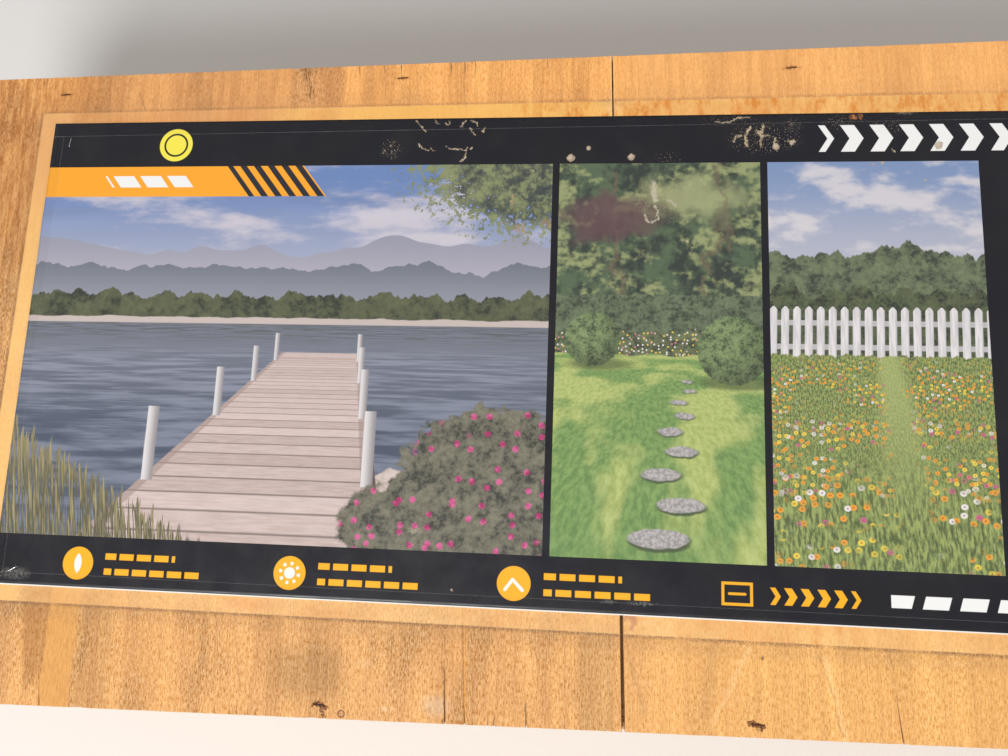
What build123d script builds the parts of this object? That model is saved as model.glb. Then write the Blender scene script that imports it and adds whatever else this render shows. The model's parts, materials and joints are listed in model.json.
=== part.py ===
from build123d import *
from math import radians, sin
import os

# A closed plywood shipping crate of the long, low kind that steel kits travel in, with a
# large printed sheet taped to its lid. X runs along the crate, Y across it, away from the
# side that the print is read from, and Z up. The origin is on the ground under the middle.
# All sizes are in millimetres and angles in degrees.

# Overall size, without the print on the lid
CRATE_LENGTH = 2032.0
CRATE_WIDTH = 567.0
CRATE_HEIGHT = 600.0

# Plywood sheets
LID_PLY = 9.0
WALL_PLY = 9.0
FLOOR_PLY = 12.0
SHEET_JOINT = 2.0

# The two lid sheets were sawn a little out of square, so their seam leans and widens
SEAM_LEAN = 5.5
SEAM_SHIFT = 0.8
SEAM_GAP_FAR = 0.8
SEAM_GAP_NEAR = 2.6

# Bearers under the floor, whose gaps take the forks of a lift truck
BEARER_COUNT = 3
BEARER_WIDTH = 90.0
BEARER_HEIGHT = 90.0
BEARER_EASE = 3.0

# Timber frame inside the walls, half-lapped where posts and rails cross
FRAME_THICK = 30.0
RAIL_HEIGHT = 60.0
POST_WIDTH = 60.0
MIDDLE_POST_WIDTH = 90.0
BATTEN_WIDTH = 80.0
BATTEN_THICK = 30.0
TIMBER_EASE = 2.0

# Printed sheet on the lid, taped down a little askew
LABEL_LENGTH = 1054.0
LABEL_WIDTH = 422.0
LABEL_THICK = 0.4
LABEL_SHIFT = 14.5
LABEL_ANGLE = -1.12

# Clear tape along the four edges of the print, partly on it and partly on the lid
TAPE_WIDTH = 24.0
TAPE_THICK = 0.2
TAPE_ON_LID = 14.5
FAR_TAPE_ANGLE = -0.70
NEAR_TAPE_ANGLE = -1.24
END_TAPE_ANGLE = -1.38

# Levels and faces that pieces share
FLOOR_TOP = BEARER_HEIGHT + FLOOR_PLY
LID_BOTTOM = CRATE_HEIGHT - LID_PLY
HALF_LENGTH = CRATE_LENGTH / 2
HALF_WIDTH = CRATE_WIDTH / 2
END_FACE = HALF_LENGTH - WALL_PLY
SIDE_FACE = HALF_WIDTH - WALL_PLY
FRAME_FACE = SIDE_FACE - FRAME_THICK
LAP_FACE = SIDE_FACE - FRAME_THICK / 2
BATTEN_RANGE = (-BATTEN_WIDTH / 2, BATTEN_WIDTH / 2)
RAIL_LEVELS = {"bottom": FLOOR_TOP, "top": LID_BOTTOM - RAIL_HEIGHT}
SIDES = {"front": -1, "back": 1}
ENDS = {"left": -1, "right": 1}


def block(x, y, z):
    """A rectangular piece that spans the three ranges."""
    size = Box(x[1] - x[0], y[1] - y[0], z[1] - z[0])
    return Pos((x[0] + x[1]) / 2, (y[0] + y[1]) / 2, (z[0] + z[1]) / 2) * size


def mirrored(low, high, side):
    """The range low to high on the positive side, or its mirror image on the negative one."""
    return (low, high) if side > 0 else (-high, -low)


def eased(piece, axis, ease):
    """Rounds the long edges of a timber, those along the axis."""
    return fillet(piece.edges().filter_by(axis), ease)


def lid_sheet(side):
    """One lid sheet: square outside, with a slightly leaning edge at the seam."""
    far = SEAM_SHIFT - SEAM_LEAN / 2 + side * SEAM_GAP_FAR / 2
    near = SEAM_SHIFT + SEAM_LEAN / 2 + side * SEAM_GAP_NEAR / 2
    end = side * HALF_LENGTH
    corners = [(end, -HALF_WIDTH), (near, -HALF_WIDTH), (far, HALF_WIDTH), (end, HALF_WIDTH)]
    outline = make_face(Polyline(*corners, close=True))
    return Pos(0, 0, LID_BOTTOM) * extrude(outline, amount=LID_PLY, dir=(0, 0, 1))


def long_wall_sheet(side, end):
    """Half of the front or back wall, from the bearers up to the lid."""
    x = mirrored(SHEET_JOINT / 2, HALF_LENGTH, end)
    return block(x, mirrored(SIDE_FACE, HALF_WIDTH, side), (BEARER_HEIGHT, LID_BOTTOM))


def end_wall_sheet(end):
    """An end wall, which fits between the two long walls."""
    return block(mirrored(END_FACE, HALF_LENGTH, end), (-SIDE_FACE, SIDE_FACE), (BEARER_HEIGHT, LID_BOTTOM))


def floor_sheet(end):
    """Half of the floor, inside the walls and on the bearers."""
    x = mirrored(SHEET_JOINT / 2, END_FACE, end)
    return block(x, (-SIDE_FACE, SIDE_FACE), (BEARER_HEIGHT, FLOOR_TOP))


def bearer(index):
    """One of the bearers, spread evenly so that the outer two are flush with the crate's ends."""
    spread = CRATE_LENGTH - BEARER_WIDTH
    centre = -spread / 2 + spread * index / (BEARER_COUNT - 1)
    x = (centre - BEARER_WIDTH / 2, centre + BEARER_WIDTH / 2)
    timber = block(x, (-HALF_WIDTH, HALF_WIDTH), (0, BEARER_HEIGHT))
    return eased(timber, Axis.Y, BEARER_EASE)


def post_range(end, width):
    """The span of a post along the crate: in a corner, or in the middle where end is 0."""
    if end == 0:
        return (-width / 2, width / 2)
    return mirrored(END_FACE - width, END_FACE, end)


def long_rail(side, low):
    """A rail along a long wall, cut to half its thickness on the inside where the posts cross it."""
    z = (low, low + RAIL_HEIGHT)
    timber = block((-END_FACE, END_FACE), mirrored(FRAME_FACE, SIDE_FACE, side), z)
    timber = eased(timber, Axis.X, TIMBER_EASE)
    for end, width in ((-1, POST_WIDTH), (0, MIDDLE_POST_WIDTH), (1, POST_WIDTH)):
        timber -= block(post_range(end, width), mirrored(FRAME_FACE, LAP_FACE, side), z)
    return timber


def wall_post(side, end, width, top):
    """A post of a long wall, cut to half its thickness on the outside where the rails cross it."""
    x = post_range(end, width)
    timber = block(x, mirrored(FRAME_FACE, SIDE_FACE, side), (FLOOR_TOP, LID_BOTTOM))
    outer = mirrored(LAP_FACE, SIDE_FACE, side)
    timber -= block(x, outer, (FLOOR_TOP, FLOOR_TOP + RAIL_HEIGHT))
    timber -= block(x, outer, (LID_BOTTOM - RAIL_HEIGHT, LID_BOTTOM))
    if top < LID_BOTTOM:
        timber -= block(BATTEN_RANGE, mirrored(FRAME_FACE, LAP_FACE, side), (top, LID_BOTTOM))
    return timber


def end_rail(end, low):
    """A rail along an end wall, between the corner posts."""
    x = mirrored(END_FACE - FRAME_THICK, END_FACE, end)
    timber = block(x, (-FRAME_FACE, FRAME_FACE), (low, low + RAIL_HEIGHT))
    return eased(timber, Axis.Y, TIMBER_EASE)


def lid_batten():
    """The batten under the lid's seam, whose ends rest in the tops of the middle posts."""
    return block(BATTEN_RANGE, (-LAP_FACE, LAP_FACE), (LID_BOTTOM - BATTEN_THICK, LID_BOTTOM))


def strip(length, width, turn, x, y):
    """A flat rectangle on the lid, turned about its own middle, as a face."""
    return Pos(x, y, CRATE_HEIGHT) * Rot(0, 0, turn) * Rectangle(length, width)


def label_sheet():
    """The printed sheet, flat on the lid."""
    outline = strip(LABEL_LENGTH, LABEL_WIDTH, LABEL_ANGLE, 0, LABEL_SHIFT)
    return extrude(outline, amount=LABEL_THICK, dir=(0, 0, 1))


def tape_faces():
    """The outlines of the four tapes: the long two run through, and the short two end against them."""
    inset = TAPE_ON_LID - TAPE_WIDTH / 2
    run = LABEL_LENGTH + 2 * TAPE_ON_LID
    rise = LABEL_WIDTH / 2 + inset
    reach = LABEL_LENGTH / 2 + inset
    far = strip(run, TAPE_WIDTH, FAR_TAPE_ANGLE, 0, LABEL_SHIFT + rise)
    near = strip(run, TAPE_WIDTH, NEAR_TAPE_ANGLE, 0, LABEL_SHIFT - rise)
    faces = {"tape_far": far, "tape_near": near}
    for name, side in ENDS.items():
        drop = side * reach * sin(radians(LABEL_ANGLE))
        short = strip(TAPE_WIDTH, LABEL_WIDTH, END_TAPE_ANGLE, side * reach, LABEL_SHIFT + drop)
        faces[f"tape_{name}"] = short - far - near
    return faces


def crate():
    """Every piece of the crate by name."""
    nodes = {}
    for index in range(BEARER_COUNT):
        nodes[f"bearer_{index + 1}"] = bearer(index)
    for end_name, end in ENDS.items():
        nodes[f"lid_sheet_{end_name}"] = lid_sheet(end)
        nodes[f"floor_sheet_{end_name}"] = floor_sheet(end)
        nodes[f"end_wall_{end_name}"] = end_wall_sheet(end)
        for level_name, level in RAIL_LEVELS.items():
            nodes[f"{level_name}_rail_{end_name}"] = end_rail(end, level)
    for side_name, side in SIDES.items():
        for end_name, end in ENDS.items():
            nodes[f"{side_name}_wall_{end_name}"] = long_wall_sheet(side, end)
            nodes[f"corner_post_{side_name}_{end_name}"] = wall_post(side, end, POST_WIDTH, LID_BOTTOM)
        for level_name, level in RAIL_LEVELS.items():
            nodes[f"{level_name}_rail_{side_name}"] = long_rail(side, level)
        batten_seat = LID_BOTTOM - BATTEN_THICK
        nodes[f"middle_post_{side_name}"] = wall_post(side, 0, MIDDLE_POST_WIDTH, batten_seat)
    nodes["lid_batten"] = lid_batten()
    nodes["label_sheet"] = label_sheet()
    for name, face in tape_faces().items():
        tape = extrude(face, amount=LABEL_THICK + TAPE_THICK, dir=(0, 0, 1))
        nodes[name] = tape - nodes["label_sheet"]
    return nodes


os.makedirs("parts", exist_ok=True)
for node, shape in crate().items():
    export_step(shape, f"parts/{node}.step")
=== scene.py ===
import bpy
import json
import math
from functools import partialmethod, reduce
from mathutils import Euler, Matrix, Vector, noise

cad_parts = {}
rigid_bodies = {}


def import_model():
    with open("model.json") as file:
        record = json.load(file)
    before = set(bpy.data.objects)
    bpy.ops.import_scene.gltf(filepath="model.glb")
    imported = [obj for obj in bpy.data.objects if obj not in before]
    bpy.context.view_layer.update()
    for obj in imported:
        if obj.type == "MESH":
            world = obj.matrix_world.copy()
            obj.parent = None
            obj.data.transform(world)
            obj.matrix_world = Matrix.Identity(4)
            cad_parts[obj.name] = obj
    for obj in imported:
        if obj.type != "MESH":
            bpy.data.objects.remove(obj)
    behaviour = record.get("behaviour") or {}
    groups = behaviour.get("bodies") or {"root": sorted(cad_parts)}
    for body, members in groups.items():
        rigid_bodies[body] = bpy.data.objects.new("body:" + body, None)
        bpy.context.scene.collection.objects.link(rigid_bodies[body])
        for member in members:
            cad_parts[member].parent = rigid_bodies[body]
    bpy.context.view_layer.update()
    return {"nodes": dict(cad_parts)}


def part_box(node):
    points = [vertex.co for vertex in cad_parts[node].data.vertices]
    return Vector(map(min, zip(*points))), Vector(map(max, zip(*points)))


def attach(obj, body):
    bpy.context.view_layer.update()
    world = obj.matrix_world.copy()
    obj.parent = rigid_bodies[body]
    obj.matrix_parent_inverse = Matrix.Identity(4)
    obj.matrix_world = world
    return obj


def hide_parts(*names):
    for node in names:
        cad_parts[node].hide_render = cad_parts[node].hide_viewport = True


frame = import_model()
NODES = frame["nodes"]

# The crate's own frame: X along it, Y away from the side that the print is read from, Z up,
# origin on the ground. Meshes are in metres. Places and sizes on the surfaces are written
# in millimetres, as the materials read them.
MM = 0.001

LID_LOW, LID_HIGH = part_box("lid_sheet_left")
LID_MIDDLE = Vector((0, 0, LID_HIGH[2]))
HALF_LENGTH = -LID_LOW[0] / MM
HALF_WIDTH = LID_HIGH[1] / MM
LID_TOP = LID_HIGH[2] / MM
LID_UNDERSIDE = LID_LOW[2] / MM
PLY_THICK = 9.0

# The line under the print where the lid's near face meets its far one
FACE_MIDDLE = 14


def corners(name):
    """The corners of a flat node's outline in mm: near left, near right, far right and far left."""
    spots = {(v.co.x / MM, v.co.y / MM) for v in NODES[name].data.vertices}
    ways = ((-1, -1), (1, -1), (1, 1), (-1, 1))
    return [Vector(max(spots, key=lambda spot: spot[0] * x + spot[1] * y)) for x, y in ways]


# The printed sheet: its near left corner, its size, how it is turned, and its bands
SHEET_CORNERS = corners("label_sheet")
SHEET_START = SHEET_CORNERS[0]
SHEET_RUN = SHEET_CORNERS[1] - SHEET_START
SHEET_LENGTH = SHEET_RUN.length
SHEET_WIDTH = (SHEET_CORNERS[3] - SHEET_START).length
SHEET_TURN = math.atan2(SHEET_RUN.y, SHEET_RUN.x)
SHEET_X = Vector((math.cos(SHEET_TURN), math.sin(SHEET_TURN)))
SHEET_Y = Vector((-SHEET_X.y, SHEET_X.x))
BAND_TOP = 378
BAND_BOTTOM = 43

# The two ends of the lid's seam, and the tapes with the corners at the ends of their outer edges
LEFT_SHEET, RIGHT_SHEET = corners("lid_sheet_left"), corners("lid_sheet_right")
SEAM_NEAR = (LEFT_SHEET[1] + RIGHT_SHEET[0]) / 2
SEAM_FAR = (LEFT_SHEET[2] + RIGHT_SHEET[3]) / 2
OUTER_EDGES = {"far": (3, 2), "near": (0, 1), "left": (0, 3), "right": (1, 2)}
TAPES = {name: corners(f"tape_{name}") for name in OUTER_EDGES}


def outer_edge(name, along):
    """Where a tape's outer edge lies on the lid, beside a place along it."""
    first, last = (TAPES[name][corner] for corner in OUTER_EDGES[name])
    run, side = (0, 1) if name in ("far", "near") else (1, 0)
    lean = (last[side] - first[side]) / (last[run] - first[run])
    return along * lean + (first[side] - first[run] * lean)


# Surfaces as arithmetic

def connect(tree, value, socket):
    """Feeds a socket from a field, a colour, another socket, or a plain number or colour."""
    if isinstance(value, (Field, Colour)):
        value = value.socket
    if isinstance(value, bpy.types.NodeSocket):
        tree.links.new(value, socket)
    elif socket.type == "RGBA" and len(value) == 3:
        socket.default_value = (*value, 1)
    else:
        socket.default_value = value


def add_node(tree, kind, inputs=(), **settings):
    """Adds a node to a tree. Its inputs are given in turn, or by name or number."""
    node = tree.nodes.new(kind)
    for name, value in settings.items():
        setattr(node, name, value)
    for name, value in inputs.items() if isinstance(inputs, dict) else enumerate(inputs):
        connect(tree, value, node.inputs[name])
    return node


class Field:
    """A number that changes over a surface. Arithmetic on it adds math nodes to its tree."""

    def __init__(self, tree, socket):
        self.tree, self.socket = tree, socket

    def math(self, operation, *others):
        node = add_node(self.tree, "ShaderNodeMath", (self, *others), operation=operation)
        return Field(self.tree, node.outputs[0])

    __add__ = __radd__ = partialmethod(math, "ADD")
    __sub__ = partialmethod(math, "SUBTRACT")
    __mul__ = __rmul__ = partialmethod(math, "MULTIPLY")
    __truediv__ = partialmethod(math, "DIVIDE")
    __abs__ = partialmethod(math, "ABSOLUTE")
    either = partialmethod(math, "MAXIMUM")
    both = partialmethod(math, "MINIMUM")
    repeat = partialmethod(math, "FLOORED_MODULO")

    def __rsub__(self, other):
        return self * -1 + other

    def over(self, number):
        """The number divided by this field."""
        return self.math("POWER", -1) * number

    def wave(self):
        """A sine wave between 0 and 1."""
        return self.math("SINE") * 0.5 + 0.5

    def fade(self, low, high, start=0, end=1):
        """Goes smoothly from start to end as the number goes from low to high."""
        inputs = (self, low, high, start, end)
        node = add_node(self.tree, "ShaderNodeMapRange", inputs, interpolation_type="SMOOTHSTEP")
        return Field(self.tree, node.outputs[0])

    def within(self, low, high, soft=0.3):
        """Is 1 between low and high and 0 elsewhere, with edges of the given softness."""
        return self.fade(low - soft, low + soft) * self.fade(high - soft, high + soft, 1, 0)

    def below(self, level, soft=0.3):
        """Is 1 where this field is lower than the level, which may be a field too."""
        return (self - level).fade(-soft, soft, 1, 0)


class Colour:
    """A colour that changes over a surface. Each call changes it, where the mask is 1."""

    def __init__(self, paint, socket):
        self.paint, self.socket = paint, socket

    def lay(self, mask, colour):
        """Lays another colour over it."""
        self.socket = self.paint.blend("MIX", mask, self, colour)

    def tint(self, mask, colour):
        """Multiplies it by another colour."""
        self.socket = self.paint.blend("MULTIPLY", mask, self, colour)

    def blot(self, place, centre, reach, soft, strength, colour):
        """Lays another colour over it in an ellipse."""
        self.lay(self.paint.ellipse(place, centre, reach, soft) * strength, colour)

    def streak(self, place, start, end, width, soft, strength, colour):
        """Lays another colour over it along a line."""
        self.lay(self.paint.stroke(place, start, end, width, soft) * strength, colour)

    def brown(self, amount, reach=(0.46, 0.82, 1.5)):
        """Darkens it towards brown, or pales it where the amount is negative."""
        p = self.paint
        fall = [-value for value in reach]
        kept = p.vector("MULTIPLY_ADD", p.join(amount, amount, amount), fall, (1, 1, 1))
        self.socket = p.vector("MULTIPLY", self, kept)


class Paint:
    """Adds nodes to one tree and hands back their outputs."""

    def __init__(self, tree):
        self.tree = tree

    def node(self, kind, inputs=(), **settings):
        return add_node(self.tree, "ShaderNode" + kind, inputs, **settings)

    def read(self, socket):
        """A number's socket as a field, and any other as it is."""
        return Field(self.tree, socket) if socket.type == "VALUE" else socket

    def vector(self, operation, *values, scale=1):
        """One step of arithmetic on places or colours."""
        node = self.node("VectorMath", {**dict(enumerate(values)), 3: scale}, operation=operation)
        return self.read(node.outputs[operation in ("LENGTH", "DISTANCE", "DOT_PRODUCT")])

    def place(self, start=(0, 0), turn=0):
        """The place on the object in mm, seen from a starting point and turned about it."""
        inputs = {"Vector": self.node("TexCoord").outputs["Object"], "Scale": (MM, MM, MM)}
        inputs |= {"Location": (start[0] * MM, start[1] * MM, 0), "Rotation": (0, 0, turn)}
        return self.node("Mapping", inputs, vector_type="TEXTURE").outputs[0]

    def split(self, vector):
        return [self.read(part) for part in self.node("SeparateXYZ", [vector]).outputs]

    def join(self, x, y, z=0):
        return self.node("CombineXYZ", (x, y, z)).outputs[0]

    def spot(self, x, y, seed):
        """A place in a flat pattern, moved away from the same pattern's other uses."""
        return self.join(x + seed * 37.7, y + seed * 19.1)

    def noise(self, vector, scale, detail=2, roughness=0.5, distortion=0, flat=True):
        """Cloudy noise between 0 and 1. It is flat, which ignores Z and is quick to render, or solid."""
        inputs = {"Vector": vector, "Scale": scale, "Detail": detail, "Roughness": roughness}
        inputs["Distortion"] = distortion
        return self.read(self.node("TexNoise", inputs, noise_dimensions="2D" if flat else "3D").outputs[0])

    def warp(self, vector, scale, reach, detail=2):
        """Moves a place about by up to half the reach, so that outlines on it turn ragged."""
        inputs = {"Vector": vector, "Scale": scale, "Detail": detail}
        cloud = self.node("TexNoise", inputs, noise_dimensions="2D").outputs["Color"]
        centred = self.vector("SUBTRACT", cloud, (0.5, 0.5, 0.5))
        return self.vector("ADD", vector, self.vector("SCALE", centred, scale=reach))

    def cells(self, vector, scale):
        """How far off the nearest of many scattered points is, in cell widths, and a random number for it."""
        inputs = {"Vector": vector, "Scale": scale}
        outputs = self.node("TexVoronoi", inputs, voronoi_dimensions="2D").outputs
        pick = self.node("SeparateColor", [outputs["Color"]]).outputs[0]
        return self.read(outputs["Distance"]), self.read(pick)

    def chance(self, number):
        """A random number for each whole number."""
        node = self.node("TexWhiteNoise", {"W": number.math("FLOOR")}, noise_dimensions="1D")
        return self.read(node.outputs[0])

    def blend(self, kind, mask, below, above):
        return self.node("Mix", {0: mask, 6: below, 7: above}, data_type="RGBA", blend_type=kind).outputs[2]

    def mix(self, mask, below, above):
        """One colour laid over another where the mask is 1."""
        return Colour(self, self.blend("MIX", mask, below, above))

    def ellipse(self, place, centre, reach, soft=0.3):
        """Is 1 inside an ellipse, or a disc where the reach is one number. The softness is in mm."""
        long, wide = reach if isinstance(reach, tuple) else (reach, reach)
        arm = self.vector("MULTIPLY", self.vector("SUBTRACT", place, (*centre, 0)), (1 / long, 1 / wide, 0))
        edge = soft / min(long, wide)
        return self.vector("LENGTH", arm).fade(1 - edge, 1 + edge, 1, 0)

    def use(self, group, **inputs):
        """Places a shared group, and hands back its outputs by name."""
        node = self.node("Group", inputs, node_tree=group)
        return {output.name: self.read(output) for output in node.outputs}

    def away(self, place, start, end=None):
        """How far a place is from the straight line between two points, or from one point."""
        if end is None:
            start, end = [(start[0] + shift, start[1]) for shift in (-0.1, 0.1)]
        return self.use(STROKE, Place=place, Start=(*start, 0), End=(*end, 0))["Distance"]

    def stroke(self, place, start, end, width, soft=0.4):
        """Is 1 within half the width of the straight line between two points."""
        return self.away(place, start, end).fade(width / 2 - soft, width / 2 + soft, 1, 0)


KINDS = {"Color": "NodeSocketColor"} | dict.fromkeys(("Place", "Start", "End"), "NodeSocketVector")


def shared(build, inputs, outputs):
    """Makes a shader node group. build gets a Paint and the inputs in turn, and returns the outputs."""
    tree = bpy.data.node_groups.new(build.__name__, "ShaderNodeTree")
    for direction, labels in (("INPUT", inputs), ("OUTPUT", outputs)):
        for label in labels.split():
            kind = KINDS.get(label, "NodeSocketFloat")
            tree.interface.new_socket(label, in_out=direction, socket_type=kind)
    paint = Paint(tree)
    given = tree.nodes.new("NodeGroupInput").outputs
    add_node(tree, "NodeGroupOutput", build(paint, *(paint.read(given[k]) for k in inputs.split())))
    return tree


def material(name, build=None, **constants):
    """Makes a material. build gets a Paint and returns what feeds the shader's sockets."""
    made = bpy.data.materials.new(name)
    made.use_nodes = True
    paint = Paint(made.node_tree)
    fed = {socket.replace("_", " "): value for socket, value in constants.items()}
    fed |= build(paint) if build else {}
    height, relief = fed.pop("Height", None), fed.pop("Relief", 1)
    if height is not None:
        fed["Normal"] = paint.node("Bump", {"Height": height, "Distance": relief * MM}).outputs[0]
    for socket, value in fed.items():
        connect(paint.tree, value, paint.tree.nodes["Principled BSDF"].inputs[socket])
    return made


def stroke_distance(p, place, start, end):
    """How far a place is from the straight line between two points."""
    reach = p.vector("SUBTRACT", end, start)
    arm = p.vector("MULTIPLY", p.vector("SUBTRACT", place, start), (1, 1, 0))
    share = p.vector("DOT_PRODUCT", arm, reach) / p.vector("DOT_PRODUCT", reach, reach)
    foot = p.vector("SCALE", reach, scale=share.either(0).both(1))
    return [p.vector("DISTANCE", arm, foot)]


STROKE = shared(stroke_distance, "Place Start End", "Distance")


# Wood

VENEER_LIGHT = (0.97, 0.525, 0.194)
VENEER_DARK = (0.62, 0.302, 0.112)
PORE_DARK = (0.33, 0.135, 0.034)
WEATHERED = (0.49, 0.272, 0.124)
FRESH_WOOD = (1, 0.66, 0.34)


def veneer(p, across, along, seed, wear, grain):
    """Rotary-cut veneer: faint bands, short open pores along the grain and weathered patches."""
    moved = across + seed * 371
    bands = p.noise(p.join(moved, along * 0.05), 0.045, 3, 0.6, 0.4)
    figure = (p.noise(p.join(moved, along * 0.2), 0.006, 1, 0.5, 0.5) * 70).wave()
    fibre = p.noise(p.join(moved, along * 0.05), 0.36, 3, 0.75)
    pores = p.noise(p.join(moved, along * 0.25), 0.9, 2, 0.85)
    patches = p.noise(p.join(moved, along * 0.4), 0.026, 4, 0.62)
    tone = bands.fade(0.3, 0.72) * 0.45 + figure * 0.1 + fibre.fade(0.22, 0.78) * 0.45
    colour = p.mix(tone, VENEER_LIGHT, VENEER_DARK)
    worn = patches.fade(0.45, 0.72) * wear
    colour.lay(worn * 0.58, WEATHERED)
    rough = ((pores.fade(0.28, 0.72) - 0.42) * (worn * 0.6 + 0.7) * grain).both(0.62)
    colour.brown(rough * 0.96)
    open_pores = pores.fade(0.61, 0.72) * grain
    colour.lay(open_pores * (worn * 0.55 + 0.4), PORE_DARK)
    return colour, worn * 0.12 + 0.6, fibre * 0.5 - open_pores * 0.5


VENEER = shared(veneer, "Across Along Seed Wear Grain", "Color Rough Height")


def ply_edge(p, depth, run, thick, seed):
    """The edge of plywood: five plies, light and dark in turn, with glue lines and torn fibres."""
    ply = depth / thick * 5 + p.noise(p.spot(run * 0.02, depth * 0.3, seed), 1, 2) * 0.35 - 0.17
    cross = (ply * math.pi).wave()
    fray = p.noise(p.spot(run, depth * 2.2, seed), 1.1, 2, 0.7)
    colour = p.mix(cross.fade(0.35, 0.65), (0.5, 0.27, 0.115), (0.7, 0.42, 0.19))
    glue = abs(ply.repeat(1) - 0.5).fade(0.4, 0.47)
    colour.lay(glue * 0.55, (0.19, 0.1, 0.05))
    colour.lay(fray.fade(0.5, 0.75) * 0.6, (0.26, 0.145, 0.075))
    return colour, fray * 0.6 + glue * -0.4


PLIES = shared(ply_edge, "Depth Run Thick Seed", "Color Height")


# Splits in the lid's long edges: where they start, how deep they run, how wide they are
# and how much they lean
NEAR_SPLITS = [
    (-476.1, 17.5, 0.9, -2.2), (-324.5, 10, 0.5, -0.8), (-312.6, 5, 0.4, 0), (-305.9, 7, 0.5, -0.5),
    (-296.7, 8, 0.5, 0.4), (-290, 6.5, 0.5, 0), (-233.2, 9, 1.1, -0.9), (-135.5, 52, 1.1, -1.6),
    (-119.9, 18, 0.9, -0.7), (-101.4, 9, 0.5, 0), (-96.7, 8, 0.5, 0.3), (-71.3, 22, 0.9, -0.8),
    (-9, 6, 0.5, 0), (210.2, 41, 1, -4), (402, 16, 0.7, 1), (560, 31, 0.8, -2), (655, 9, 0.5, 0.4),
    (842, 22, 0.8, 1.1), (-702, 26, 0.9, -1.2), (-845, 12, 0.6, 0.7),
]
FAR_SPLITS = [
    (-536.5, 14, 0.5, -0.6), (-231.7, 10, 0.5, 0.3), (-208.2, 9, 0.4, 0.2), (-192.6, 13, 0.7, 0.4),
    (-146.7, 15.5, 0.8, 0.4), (-134, 17, 0.6, 0.3), (-124.2, 11, 0.4, 0.2), (-59.2, 12, 0.4, 0.2),
    (-760, 15, 0.6, 0.5), (388, 12, 0.6, 0.2), (521, 24, 0.7, 0.8), (790, 14, 0.6, -0.5),
]

# Thin dark lines in the lid's face: start, end, width and strength
LINE_BROWN = (0.22, 0.115, 0.06)
FAR_LINES = [
    ((-536.3, 268), (-533.3, 246.6), 0.6, 0.5), ((-134, 268), (-132.6, 240), 0.6, 0.45),
    ((-124, 283), (-123, 243), 0.5, 0.25), ((-277.4, 265), (-276.7, 252.5), 1.4, 0.85),
    ((-441.5, 263), (-435, 246), 1.6, 0.35),
]
NEAR_LINES = [
    ((-138.6, -217), (-137, -231), 0.5, 0.6), ((-137.4, -241), (-136.1, -283), 1.1, 0.8),
    ((-71.8, -265), (-71.6, -283), 1, 0.75), ((-96.7, -274), (-96.5, -283), 0.7, 0.5),
    ((-313.4, -204), (-304.8, -265), 0.7, 0.35), ((150.4, -220), (159.5, -243.8), 0.7, 0.4),
    ((159.5, -243.8), (166.2, -280), 0.8, 0.45), ((206.2, -243), (203, -214), 0.4, 0.4),
    ((-232.4, -263), (-231.2, -271), 0.7, 0.6), ((8.8, -231), (19.1, -267), 0.8, 0.25),
]

# Scuffs on the near side: start, end, width, softness, strength and colour, and tears without the last two
NEAR_SCUFFS = [
    ((8.8, -226), (19.1, -268), 5, 2, 0.22, WEATHERED), ((75, -212), (66, -268), 7, 3, 0.16, WEATHERED),
    ((100.6, -217.2), (71.1, -274), 3.4, 1.4, 0.26, FRESH_WOOD),
    ((155.8, -222.1), (168.4, -279.6), 3.4, 1.4, 0.26, FRESH_WOOD),
]
NEAR_TEARS = [
    ((-242.6, -272.6), (-238.8, -271.4), 3.4, 0.6), ((-238.8, -272.4), (-232.4, -274.8), 3.6, 0.6),
    ((-236, -276), (-233.6, -283), 1.5, 0.5),
]

# Darker and paler parts of the lid's face: the ranges along and across, the softness, and the tint
FAR_TINTS = [
    ((-760, -480), (80, 300), 45, (0.8, 0.77, 0.76)), ((-690, -490), (75, 232), 35, (0.86, 0.84, 0.84)),
    ((-480, -280), (150, 300), 30, (0.89, 0.9, 0.98)), ((-296, -245), (246, 300), 2, (0.84, 0.86, 0.96)),
    ((-225, 10), (90, 300), 22, (1.1, 1.12, 1.08)), ((12, 1100), (100, 300), 11, (1.06, 1.09, 1.14)),
]
NEAR_TINTS = [
    ((-449, -418), (-300, -180), 6, (0.86, 0.87, 0.88)),
    ((-680, -508), (-300, -160), 14, (0.79, 0.79, 0.86)),
    ((-276, -222), (-268, -228), 12, (0.74, 0.75, 0.78)),
    ((-310, -140), (-300, -180), 25, (0.93, 0.93, 0.95)), ((-30, -3), (-300, -207), 5, (0.86, 0.9, 0.93)),
    ((50, 640), (-300, -140), 60, (1.08, 1.1, 1.02)),
]


def seam_distance(x, y):
    """How far a place is from the middle of the lid's seam, in mm."""
    lean = (SEAM_FAR.x - SEAM_NEAR.x) / (SEAM_FAR.y - SEAM_NEAR.y)
    return x - ((y - SEAM_NEAR.y) * lean + SEAM_NEAR.x)


def far_marks(p, colour, place, ragged, rough):
    """What weather and handling left on the lid beyond the print, and painted shade round three staples."""
    x, y, _ = p.split(place)
    streaks = p.noise(p.join(x, y * 0.15), 0.21, 4, 0.82)
    end = x.fade(-980, -600) * x.fade(-450, -550) * y.fade(20, 110)
    amount = (streaks.fade(0.3, 0.74) - 0.42) * (end * 0.6 + y.fade(20, 110) * 0.12)
    colour.brown(amount, (0.62, 0.95, 1.3))
    # Dark blots round three of the far staples: rust in the wood and painted shade in the pits they are
    # driven into
    rings = ((-516, 265.1), (7.4, 1.7)), ((-190.7, 269.4), (7, 1.6)), ((151.8, 265.7), (7.2, 1.8))
    for spot, reach in rings:
        colour.blot(rough, spot, reach, 0.8, 0.45, (0.17, 0.065, 0.022))
    colour.blot(ragged, (-4, 238.3), (15, 3.2), 1.4, 0.5, (0.36, 0.235, 0.2))
    colour.blot(ragged, (-1, 232), (7, 4.5), 2.5, 0.45, (0.93, 0.66, 0.46))


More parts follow.
